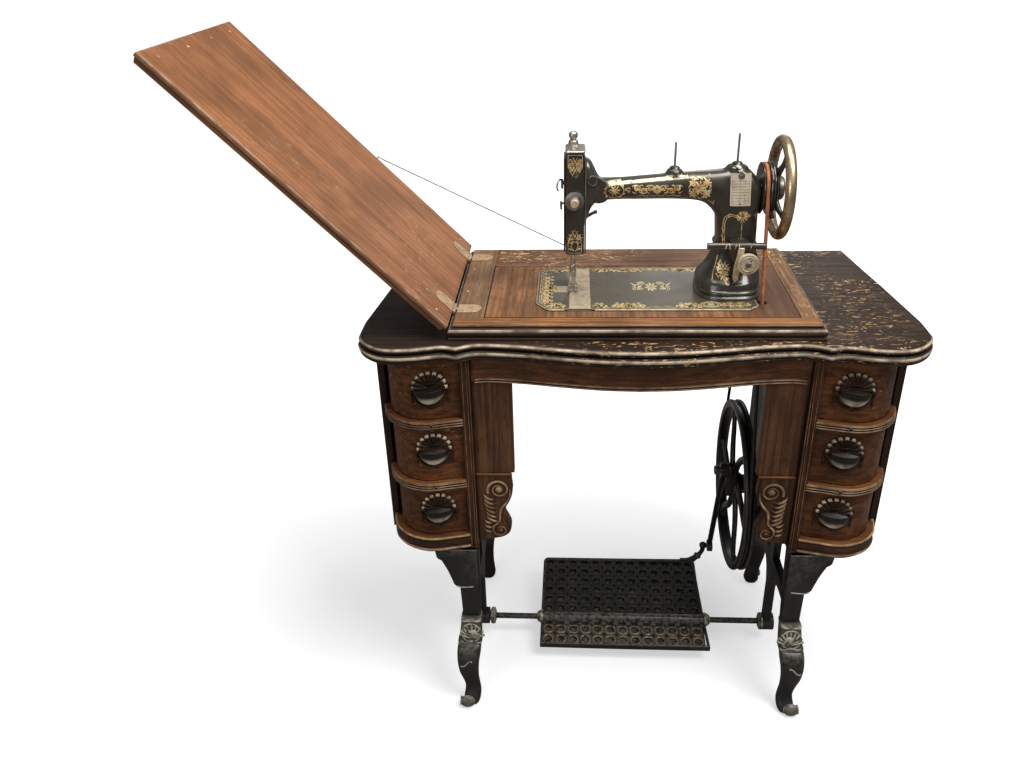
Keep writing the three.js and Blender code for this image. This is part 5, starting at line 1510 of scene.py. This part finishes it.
def on_arm(u, v, lift=0.22):
    """The point of the arm's front skin at X u and Z v."""
    hit, normal, _, _ = ARM_TREE.ray_cast(world((u, -200, v)), Vector((0, 1, 0)))
    if hit is None or hit.y > world((0, -20, 0)).y or normal.y > -0.12:
        return None
    return (hit + normal * lift * MM - HOME) / MM


def on_bed(u, v):
    return Vector((u, v, BED[4] + 0.16))


def make_transfers():
    ribbon("head_crest_top", crest(-103.4, 988, 22, 13) + crest(-103.4, 984, 17, 14,
        -1) + mirror_strokes([[(-114.6, 1002, 0.8), (-114.6, 984, 0.8), (-110, 975, 0.7), (-104, 966, 0.6)],
        [(-114.6, 1002.6, 0.8), (-103.4, 1002.6, 0.8)], curl(-111.4, 994, 3.2, 1.2, 0, 1, 1.2)], -103.4), lambda u,
        v: on_arm(u, v + 5))
    ribbon("head_crest_low", crest(-103.4, 870, 22, 17) + mirror_strokes([[(-114.4, 848, 0.9), (-114.4, 864, 0.9),
        (-110, 876, 0.7), (-103.6, 886, 0.6)], [(-114.4, 847, 0.9), (-103.4, 847, 0.9)],
        curl(-110.6, 855, 3.8, 1.2, 2, -1, 1.5), leaf_stroke(-104.4, 850, radians(120), 12, 2.2, 0.7)], -103.4),
        on_arm)
    ring = [(-40.4 + 14.6 * cos(a), 949.2 + 11.4 * sin(a), 1.3) for a in circle(40, 1)]
    medallion = [ring] + rosette(-40.4, 949.2, 10.5, 9, 2.1)
    for k in range(12):
        a = 2 * pi * k / 12
        medallion.append(leaf_stroke(-40.4 + 15.2 * cos(a), 949.2 + 11.9 * sin(a), a + 0.5, 4.6, 1.5, 0.7))
    ribbon("arm_medallion", medallion + garland(-24, -12, 950, 11, 1, 1.4), on_arm)
    # A band of pale gold along the arm's upper front: a painted sheen, patchy and fading to the right.
    band = []
    for row in range(3):
        drop = 2.1 * row
        band.append([(x, 961.6 - drop + 0.084 * (x + 52), 2.1) for x in range(-54, 112, 4)])
    ribbon("arm_band_sheen", band, on_arm, SHEEN_BAND_GOLD)
    scroll = rosette(27, 951, 7.6, 8, 2.8)
    for k in range(3):
        x = 37 + 11 * k
        scroll += [curl(x, 952.6 - 3 * (k % 2), 5.4, 1.4, radians(190), 1 if k % 2 else -1, 2.4, 22),
            leaf_stroke(x - 6, 949, radians(38), 9, 2.4, -0.8), leaf_stroke(x - 6, 953, radians(-40), 9, 2.4, 0.8),
            leaf_stroke(x + 1, 957, radians(20), 7.5, 1.8, -0.7), leaf_stroke(x + 1, 945.4, radians(-15), 7.5, 1.8,
            0.7)]
    scroll = mirror_strokes(scroll, 27)
    scroll += [[(x, 941 + 1.1 * sin(0.5 * x), 1.0) for x in range(-6, 66, 2)]]
    scroll += [[(x, 936.2, 0.7) for x in range(-54, 90, 4)]]
    ribbon("arm_scroll_band", scroll, on_arm)
    bouquet = rosette(93, 953, 12, 10, 3.4) + rosette(104, 944.5, 8.5, 8, 2.6) + rosette(84, 944.6, 7.6, 8, 2.2)
    bouquet += rosette(105, 961, 7.4, 7, 2.2) + rosette(83, 961.5, 7, 7, 2.0)
    for k in range(14):
        a = 2 * pi * k / 14
        bouquet.append(leaf_stroke(94 + 14 * cos(a), 952.5 + 13.5 * sin(a), a + 0.6, 8.4, 2.0, 0.8))
    for k in range(5):
        bouquet.append(leaf_stroke(108 + 2 * k, 934 - 2.2 * k, radians(-60 + 30 * k), 7, 1.5, 0.6))
    ribbon("arm_bouquet", bouquet, on_arm)
    panel = []
    for inset in (0, 2.8):
        panel.append([(131.4 + inset, 865, 0.9), (130 + inset, 882, 0.9), (129.6 + inset, 896, 0.9),
            (131 + inset, 905 - inset, 0.9), (137, 911 - inset, 0.9), (146, 910 - inset, 0.9),
            (158.8, 905 - inset, 0.9)])
        panel.append([(186.4 - inset, 865, 0.9), (186.6 - inset, 882, 0.9), (186 - inset, 896, 0.9),
            (184.4 - inset, 905 - inset, 0.9), (180, 911 - inset, 0.9), (171, 910 - inset, 0.9),
            (160.4, 905 - inset, 0.9)])
    panel += crest(159.6, 907, 20, 11, -1) + crest(159.6, 910.5, 17, 7)
    panel += [[(159.2, 898, 1.5), (159.4, 884, 1.2), (159.8, 868, 0.6)], curl(139, 908, 4, 1.2, 0, 1, 1.3),
        curl(180, 908, 4, 1.2, 3, -1, 1.3)]
    panel += crest(159.6, 861, 22, 12) + [leaf_stroke(131.5, 866 + 6 * k, radians(70 + 40 * (k % 2)), 6, 1.5, 0.4)
        for k in range(5)]
    ribbon("pillar_panel", panel, lambda u, v: on_arm(u + 4.6, v))
    bell = rosette(136, 812, 8.5, 8, 2.6) + crest(135, 820, 17, 17) + [leaf_stroke(127.5, 808 + 7 * k,
        radians(100 - 20 * k), 8, 1.7, 0.5) for k in range(4)]
    bell += [[(126, 842, 1.1), (123.4, 828, 1.1), (119.6, 815, 1.1), (117.5, 803, 1.0)],
        curl(143, 803, 5, 1.2, 1.0, 1, 1.7)]
    ribbon("bell_spray", bell, lambda u, v: on_arm(u + 4, v))


def make_bed_transfers():
    left, right, front, back, _ = BED
    lines = []
    for inset in (4.6, 7.4):
        path = [(right - 13, front + inset), (left + 20 + inset * 0.5, front + inset),
            (left + inset, front + 28 + inset * 0.3), (left + inset, back - 20 - inset * 0.3),
            (left + 21 + inset * 0.5, back - inset), (right - 12, back - inset)]
        for (xa, ya), (xb, yb) in zip(path, path[1:]):
            if inset > 5 and ya == yb:
                continue
            lines.append([(xa + (xb - xa) * t / 8, ya + (yb - ya) * t / 8, 0.9) for t in range(9)])
    ribbon("bed_border", lines, on_bed)
    end = []
    for k in range(8):
        y = front + 31 + 15.6 * k
        end += rosette(left + 14.5, y, 7.6, 7, 3.2)
        end += [curl(left + 23, y + 7, 5.4, 1.2, 2.5, 1, 2.4), leaf_stroke(left + 9, y - 7, 1.1, 10, 3.4, 0.6),
            leaf_stroke(left + 19, y - 5, 0.5, 10.6, 3.2, 1.0), leaf_stroke(left + 19, y + 3, -0.4, 9.4, 3.0, -0.9)]
    end += crest(left + 26, -32, 15, 13) + crest(left + 26, -36, 15, 13, -1)
    ribbon("bed_end_garland", end, on_bed)
    ground = [[(left + 13 + 6.5 * k, y, 7.2) for y in range(int(front) + 34, int(back) - 24, 5)] for k in range(2)]
    ground += [[(x, front + 12 + 6.4 * k, 6.8) for x in range(int(u0), u1, 5)] for k in range(2) for u0,
        u1 in ((left + 24, -122), (-44, 10), (66, 104), (136, 176))]
    ribbon("bed_worn_ground", ground, lambda u, v: on_bed(u, v) - Vector((0, 0, 0.1)), GROUND_GOLD)
    for name, u0, u1, count in (("a", left + 20, -118, 3), ("b", -72, -50, 2), ("c", -40, 12, 5), ("d", 64, 104, 4)):
        ribbon(f"bed_front_garland_{name}", garland(u0, u1, front + 14, 17, count, 3.0) + rosette((u0 + u1) / 2,
            front + 16, 9, 8, 3.4) + garland(u0 + 2, u1 - 6, front + 25, 8, count, 2.0), on_bed)
        ribbon(f"bed_back_garland_{name}", garland(u0, u1 + 8, back - 14, 16, count, 3.2) + rosette((u0 + u1) / 2,
            back - 16, 8, 8, 3.4), on_bed)
    ribbon("bed_back_line", [[(x, back - 8.5 + 2.0 * sin(x * 0.28), 2.2) for x in range(-70, 130, 2)]] + garland(12,
        110, back - 11, 8, 8, 1.7), on_bed)
    ribbon("bed_front_line", [[(x, front + 10 + 1.2 * sin(x * 0.3), 1.4) for x in range(-52, 98, 2)]], on_bed)
    centre = (27, -30)
    strokes = rosette(*centre, 12, 8, 4.2)
    strokes += mirror_strokes([curl(centre[0] + 20, centre[1] + 2, 7, 1.3, 2.6, -1, 3.0),
        leaf_stroke(centre[0] + 16, centre[1], 0.1, 24, 3.6, 0.4), leaf_stroke(centre[0] + 14, centre[1] - 4, -0.5,
        18, 3.2, 0.7), leaf_stroke(centre[0] + 10, centre[1] + 8, 0.9, 16, 3.2, -0.8),
        curl(centre[0] + 31, centre[1] - 4, 5, 1.2, 1.0, 1, 2.0)], centre[0])
    ribbon("bed_medallion", strokes, lambda u, v: on_bed(27 + 0.94 * (u - 27), -30 + 1.8 * (v + 30)), PALE_GOLD)
    ring = []
    for r in (1.0, 0.74):
        ring.append([(118 + 16 * r * cos(a), -107.5 + 11.4 * r * sin(a), 2.0) for a in circle(32, 1)])
    ring += rosette(118, -107.5, 7.4, 8, 2.6)
    spray = []
    for k in range(5):
        spray += rosette(141 + 8.6 * k, -108 + 5 * (k % 2), 8.4, 7, 3.6)
        spray.append(leaf_stroke(138 + 8.6 * k, -117, 1.0, 10, 2.0, 0.7))
    ribbon("bed_corner_spray", spray, on_bed)
    ribbon("bed_corner_badge", ring, on_bed, PALE_GOLD)


make_transfers()
make_bed_transfers()


# ------------------------------------------------------------------ fittings of the head
# Axes of the head's moving pieces.
DIAL = (-104, 0, 935)
WINDER = (172, 0, 842)
PRESSER = (-106.5, -20, 0)
NEEDLE = (-106.5, -38, 0)


def make_head_fittings():
    cap = [ring_at(-118.8 + d, -87.6 - d, -60.4 + d, -7.6 - d, z, 12, 40) for z, d in ((1011.2, 0.3), (1011.5, -0.4),
        (1012.9, -0.4), (1013.7, 0.3), (1014.2, 2.4))]
    build("nickel_cap", Shape().grid(cap, around=True, caps=True), NICKEL, "head", ["head_cap"], angle=35)
    dome = Shape().lathe([(5.2, 1013.8), (10.6, 1014), (9.4, 1016.4), (6.4, 1017.4), (5.2, 1017.6), (5.2, 1013.8)],
        PRESSER, "z", 28)
    build("cap_collar", dome, NICKEL, "head")
    cap_screws = merge([screw((x, -52, 1014), (0, 0, 1), 2.6, 0.8) for x in (-113.4, -93.4)])
    build("cap_screws", cap_screws, STEEL, "head")
    refined("face_plate", JAPAN, 0.6)
    knob = Shape().lathe([(4, 1013.4), (4, 1014), (7.6, 1014.2), (8, 1016), (7.8, 1021), (6.6, 1022.6), (4.8, 1023.6),
        (5.6, 1026), (7, 1027.4), (7.2, 1032), (6.4, 1034.6), (3.6, 1036.6), (0, 1037)], PRESSER, "z", 32)
    knob.lathe([(4, 792.4), (4, 1018), (0, 1018.2)], PRESSER, "z", 24)
    knob.add(*box_faces(-112.5, -100.5, -26.4, -13, 792, 806))
    knob.add(*box_faces(-109.6, -101.6, -30, -17, 778, 793))
    build("presser_assembly", knob, NICKEL, "presser_bar", ["presser_bar"], bevel=0.5)
    sole = Shape()
    for x0, x1, y0, y1 in ((-114.4, -98.6, -16.4, -31.6), (-114.4, -108.4, -31, -54.4), (-104.6, -98.6, -31, -54.4)):
        levels = [(y0 + (y1 - y0) * t, 1.8 * t ** 6 if y1 < -40 else 0.2 * t) for t in (0, 0.3, 0.6, 0.85, 1)]
        sole.grid([[(x0, y, 775.3 + 0.6 * lift), (x1, y, 775.3 + 0.6 * lift), (x1, y, 778 + lift),
            (x0, y, 778 + lift)] for y, lift in levels], around=True, caps=True)
    build("presser_sole", sole, NICKEL, "presser_bar", bevel=0.3)
    bar_shape = Shape().lathe([(0, 811), (3, 811.4), (3.6, 813), (3.6, 1017), (3, 1018), (0, 1018)], NEEDLE, "z", 24)
    bar_shape.lathe([(0, 806.6), (4.4, 807), (5.4, 808.4), (5.4, 818.6), (4.4, 820), (0, 820)], NEEDLE, "z", 20)
    bar_shape.tube([(-106.5, -38, 786), (-106.5, -38, 790), (-106.5, -38, 807)], lambda t: 0.4 + 0.5 * min(1, 4 * t), 8)
    bar_shape.lathe([(0, 0), (2.6, 0), (2.6, 5.6), (2, 6.4), (0, 6.4)], (-111.4, -38, 813), Vector((-1, 0, 0)), 14)
    build("needle_assembly", bar_shape, NICKEL, "needle_bar", ["needle_bar"])
    refined("arm_shaft", STEEL, 0.6)
    for name in ("needle_plate", "slide_plate_front", "slide_plate_rear"):
        refined(name, PLATE_STEEL, 0.25)
    for side in ("left", "right"):
        refined(f"head_hinge_pin_{side}", STEEL, 0.3)
    # The dial's grooves are darkened as painted shade.
    dial = Shape().lathe([(0, -66), (6, -66), (9, -65.2), (12, -64.8), (15.4, -63.8), (15.6, -62.6), (15.2, -61.8),
        (12.4, -61.6), (9, -60.6), (0, -60.5)], DIAL, "y", 48, wear_and_painted_light=(0, 0, -0.6, 0, -0.3, 0, 0, 0, 0, 0))
    for r in (11.2, 13.6):
        dial.tube([(-104 + r * cos(a), -65.3 + 0.28 * (r - 9), 935 + r * sin(a)) for a in circle(40)], 0.5, 6,
            closed=True)
    dial.lathe([(0, -62), (3, -62), (3, -53.4), (0, -53.4)], DIAL, "y", 20)
    dial.tube([(-104 + r * cos(a), -67.4, 935 + r * sin(a)) for r, a in [(7.4 + 0.35 * k, 0.9 + 0.42 * k)
        for k in range(13)]], lambda t: 1.3 - 0.5 * t, 8, wear_and_painted_light=0)
    build("tension_assembly", dial, STEEL, "tension_dial", ["tension_dial"])
    nut = Shape().lathe([(0, -80.4), (5.6, -80.2), (7, -79), (7.4, -77), (7.4, -70), (6.2, -68), (4, -67), (0, -66)],
        DIAL, "y", 32)
    build("tension_knob", nut, CREAM, "tension_dial")
    hook = spline([(-121.8, -34, 956), (-124.4, -40, 963), (-128, -48, 966.4), (-131, -54, 963), (-132.4, -56, 957),
        (-131.2, -56, 951.6), (-129, -55, 951)], 5)
    lever = Shape().tube(hook, lambda t: 1.7 - 0.5 * t, 10)
    lever.lathe([(0, -126.4), (6.6, -126.2), (8, -125), (8, -122.6), (0, -122.2)], (0, -34, 956), "x", 24)
    build("take_up_hook", lever, STEEL, "take_up_lever", ["take_up_lever"])
    small = Shape().tube([(-121.6, -46, 928), (-124.6, -52, 928.4), (-125.6, -58, 927.6)], 1.5, 8)
    small.tube([(-125.6, -58, 934), (-126, -58.6, 927.6), (-125.4, -58, 921)], 1.8, 10)
    build("thread_lever", small, STEEL, "head")
    # A near-black disc inside the hole is painted shade; its rim is paled as wear and painted highlight.
    hole = Shape().lathe([(3.3, 0.0), (4.5, 0.1), (4.3, 0.7), (3.3, 0.7), (3.1, -0.4), (3.3, 0)],
        (-101.6, -60, 974.6), FORWARD, 28, wear_and_painted_light=(0, 0.5, 0.7, 0.3, 0))
    hole.lathe([(0, -0.1), (3.2, 0.12), (0, 0.14)], (-101.6, -60, 974.6), FORWARD, 20, wear_and_painted_light=(-1, -1, -1))
    build("head_hole", hole, JAPAN, "head")
    glint = Shape().lathe([(0, 0), (1.7, 0), (1.3, 0.8), (0, 1)], (-102, -60.1, 974.2), FORWARD, 16)
    build("head_hole_screw", glint, NICKEL, "head")
    # A near-black disc inside the neck hole is painted shade; its rim is paled as wear and painted highlight.
    neck = Shape().lathe([(6.2, 0), (8.4, 0.1), (7.8, 1.0), (6.2, 1), (5.6, -0.5), (6.2, 0)], (-75.6, -57.4, 966),
        Vector((0.1, -1, 0.18)), 28, wear_and_painted_light=(0, 0.3, 0.5, 0.2, 0))
    neck.lathe([(0, 0.2), (6.2, 0.3), (0, 0.34)], (-75.6, -57.4, 966), Vector((0.1, -1, 0.18)), 24, wear_and_painted_light=(-1, -1, -1))
    build("neck_hole", neck, JAPAN, "head")
    rail = Shape().tube([(-86.4, -58.6, 846), (-86.4, -58.6, 915), (-86.4, -58.6, 1002)], 1.4, 8)
    build("head_edge_rail", rail, STEEL, "head")
    lifter = Shape().tube(spline([(-94, -4, 886), (-84, -4, 891.4), (-76, -4, 896), (-69.4, -4, 899)], 4),
        lambda t: 3.4 - 0.8 * t, 12)
    lifter.lathe([(0, -7.6), (6.4, -7.4), (7, -6.6), (7, -3), (0, -2.6)], (-94, 0, 886), "y", 24)
    lifter.lathe([(0, -3), (2.9, -2), (3.4, 0), (2.9, 3), (0, 4)], (-69.4, -4, 899), Vector((0.85, 0, 0.5)), 18)
    build("lifter_lever", lifter, STEEL, "presser_lifter", ["presser_lifter"])
    for name, x, z0, z1 in (("left", 55, 966.4, 1020.5), ("right", 153, 985.4, 1033)):
        pin = Shape().lathe([(0, z0), (1.8, z0), (1.8, z1 - 1), (1.2, z1), (0, z1)], (x, HEAD_Y, 0), "z", 16)
        base = z0 + (12.6 if x < 100 else 0)
        build(f"spool_wire_{name}", pin, STEEL, "head", [f"spool_pin_{name}"])
        seat = Shape().lathe([(1.9, base), (8, base), (8.4, base + 1), (7, base + 3), (3.4, base + 4),
            (1.9, base + 4), (1.9, base)], (x, HEAD_Y, 0), "z", 28)
        build(f"spool_seat_{name}", seat, JAPAN, "head")
    front = HEAD_Y - 29.6
    caps = []
    for x, z in ((55, 973.4), (153, 979.6)):
        caps.append(Shape().lathe([(0, -0.5), (4.6, -0.2), (4.8, 1.6), (2.8, 2.8), (0, 3)], (x, HEAD_Y - 14, z + 3.4),
            Vector((0, -0.6, 1)), 20))
    build("oil_caps", merge(caps), STEEL, "head")
    rows = []
    for i in range(13):
        u = -16 + 32 * i / 12
        row = []
        for j in range(21):
            v = -26.2 + 52.4 * j / 20
            row.append(on_plate(u, v, 0.9))
        rows.append(row)
    blank = Shape().grid(rows)
    blank.grid([[(x, y + 1.2, z) for x, y, z in row] for row in rows])
    build("blank_plate", blank, PALE_PLATE, "head", ["number_plate"], angle=60)
    marks = merge([screw((156.2, front - 1, 973.4), (0, -1, 0), 3.0, 1.0, 0.5), screw((157.6, front - 0.9, 928.6),
        (0, -1, 0), 1.5, 0.6)])
    marks.lathe([(3.2, 0), (5.2, 0), (5, 1), (3.2, 1.1), (3.2, 0)], (156.2, front - 0.8, 973.4), FORWARD, 24)
    build("plate_screws", marks, STEEL, "head")
    rules = Shape()
    for k in range(9):
        v = 14 - 4.6 * k
        rules.tube([on_plate(u, v, 0.94) for u in (-13, -6.5, 0, 6.5, 13)], 0.28, 6)
    for u in (-13, -1, 7, 13):
        rules.tube([on_plate(u, v, 0.94) for v in (14, -2, -22.8)], 0.24, 6)
    build("plate_rules", rules, STEEL, "head")


def on_plate(u, v, lift=0.0):
    """A point on the slightly bowed number plate, from its middle."""
    return 156.6 + u + 1.4 * v / -26, HEAD_Y - 29.6 - lift + 0.0045 * u * u, 951.4 + v


def make_winder():
    rail = Shape().tube([(108, -86, 866.6), (120, -86, 866.8), (150, -86, 866.6), (180, -86, 866.4), (201, -86, 866)],
        5.6, 16)
    rail.prism([(146, 870), (146, 860), (150, 855), (170, 855), (176, 860), (176, 870)], -83, -62.6, "y")
    build("winder_rail", rail, JAPAN, "head", ["winder_bracket"], bevel=0.8)
    frame_plate = Shape().prism([(143, 872), (141, 862), (145, 850), (153, 838), (163, 832), (177, 832), (185, 840),
        (188, 852), (184, 864), (178, 872)], -90, -86.4, "y")
    build("winder_plate", frame_plate, JAPAN, "head", bevel=1.2)
    scuffs = Shape()
    for x, lean, tall in ((137, 1.5, 8), (143, -1, 9), (152, 1.5, 9), (158, -1, 8), (176, 1, 5)):
        line = [(x + lean * sin(t), -86 - 5.7 * cos(t), 866.4 + 5.7 * sin(t)) for t in [radians(a * tall / 9)
            for a in (-50, -30, -10, 10, 30, 50)]]
        scuffs.tube(line, lambda t: 1.1 - 0.8 * abs(t - 0.5), 6)
    build("winder_scuffs", scuffs, CREAM, "head")
    lever = [(156.4, 866), (154, 850), (151.4, 836), (150.6, 818), (152.4, 811), (156.6, 809), (160.4, 812),
        (161.4, 824), (160.4, 834), (163.6, 842), (165.6, 854), (166, 866)]
    build("winder_lever", Shape().prism(lever[::-1], -96, -92.4, "y"), CREAM, "head", bevel=1.1)
    stub = Shape().lathe([(0, -98.4), (3, -98.2), (3.6, -97.4), (3.6, -95), (0, -95)], (156, 0, 816), "y", 20)
    build("winder_lever_stub", stub, CREAM, "head")
    wheel = [(3.4, -105.4), (3.6, -106), (10.6, -106), (11.2, -106.7), (12.4, -106.7), (13, -106), (16, -106),
        (16.9, -105.2), (16.9, -99), (16, -98), (4, -98), (3.4, -99), (3.4, -105.4)]
    # The disc's grooves and two small holes are darkened as painted shade.
    disc = Shape().lathe(wheel, WINDER, "y", 56, wear_and_painted_light=(0, -0.5, 0, -0.6, 0, -0.6, 0, 0.2, 0, 0, 0, 0, 0))
    for k in range(2):
        a = 1.0 + pi * k
        disc.lathe([(0, -106.4), (1.2, -106.3), (1.4, -105.8), (0, -105.8)], (172 + 7.6 * cos(a), 0,
            842 + 7.6 * sin(a)), "y", 14, wear_and_painted_light=(-1, -1, -1, -1))
    build("winder_disc", disc, CREAM, "winder_wheel", ["winder_wheel"], angle=40)
    centre = screw((172, -105.8, 842), (0, -1, 0), 4.6, 2.4, 0.4)
    centre.lathe([(0, -99), (3, -99), (3, -81), (0, -81)], WINDER, "y", 16)
    build("winder_screw", centre, STEEL, "winder_wheel", angle=30)


def make_hand_wheel():
    centre = (0, HEAD_Y, SHAFT_Z)
    tube_section = [(74 + 8.6 * cos(a), 224 + 8.6 * sin(a)) for a in circle(20, 1)]
    tube_section[-1] = tube_section[0]
    build("hand_wheel_rim", Shape().lathe(tube_section, centre, "x", 96), BRONZE, "hand_wheel", angle=70)
    pulley = [(7.5, 191.6), (37, 191.6), (40.6, 192.2), (41, 193.2), (36.4, 195), (35, 196.4), (34.8, 199),
        (35.4, 201), (41.6, 202.6), (42.2, 204), (38.6, 205), (38.6, 206.4), (42, 207.2), (42.2, 208.6), (37, 209.6),
        (36.6, 211.2), (38.6, 212.4), (37.6, 214), (31, 215), (30.4, 216.4), (31, 217.4), (23, 218), (7.5, 217),
        (7.5, 191.6)]
    body = Shape().lathe(pulley, centre, "x", 72, wear_and_painted_light=(0, 0, 0.5, 0.3, 0, 0, 0, 0, 0.4, 0.5, 0, 0, 0.5, 0.3, 0, 0,
        0.5, 0.2, 0, 0, 0.3, 0, 0))
    for k in range(4):
        turn = pi / 2 * k + 0.5
        line = []
        for u, v, x in ((22, 0, 211), (36, 3, 214.5), (52, 4, 219), (68, 1, 223), (74, 0, 224)):
            line.append((x, HEAD_Y + u * cos(turn) - v * sin(turn), SHAFT_Z + u * sin(turn) + v * cos(turn)))
        line = spline(line, 5)
        body.tube(line, lambda t: 9.5 - 4.4 * sin(pi * min(1, t * 1.2)) ** 0.7 * min(1, 2 * t), 12, flat=0.7,
            up=(1, 0, 0))
    build("hand_wheel_spokes", body, JAPAN, "hand_wheel", ["hand_wheel"], angle=50)
    knob = Shape().lathe([(0, 217.5), (16, 217.5), (19, 219.4), (19.4, 222), (19, 225.6), (16.4, 228.4), (9, 229),
        (8, 228.2), (0, 228)], centre, "x", 40)
    build("clutch_knob_turned", knob, STEEL, "clutch_knob", ["clutch_knob"], angle=35)


make_head_fittings()
make_winder()
make_hand_wheel()
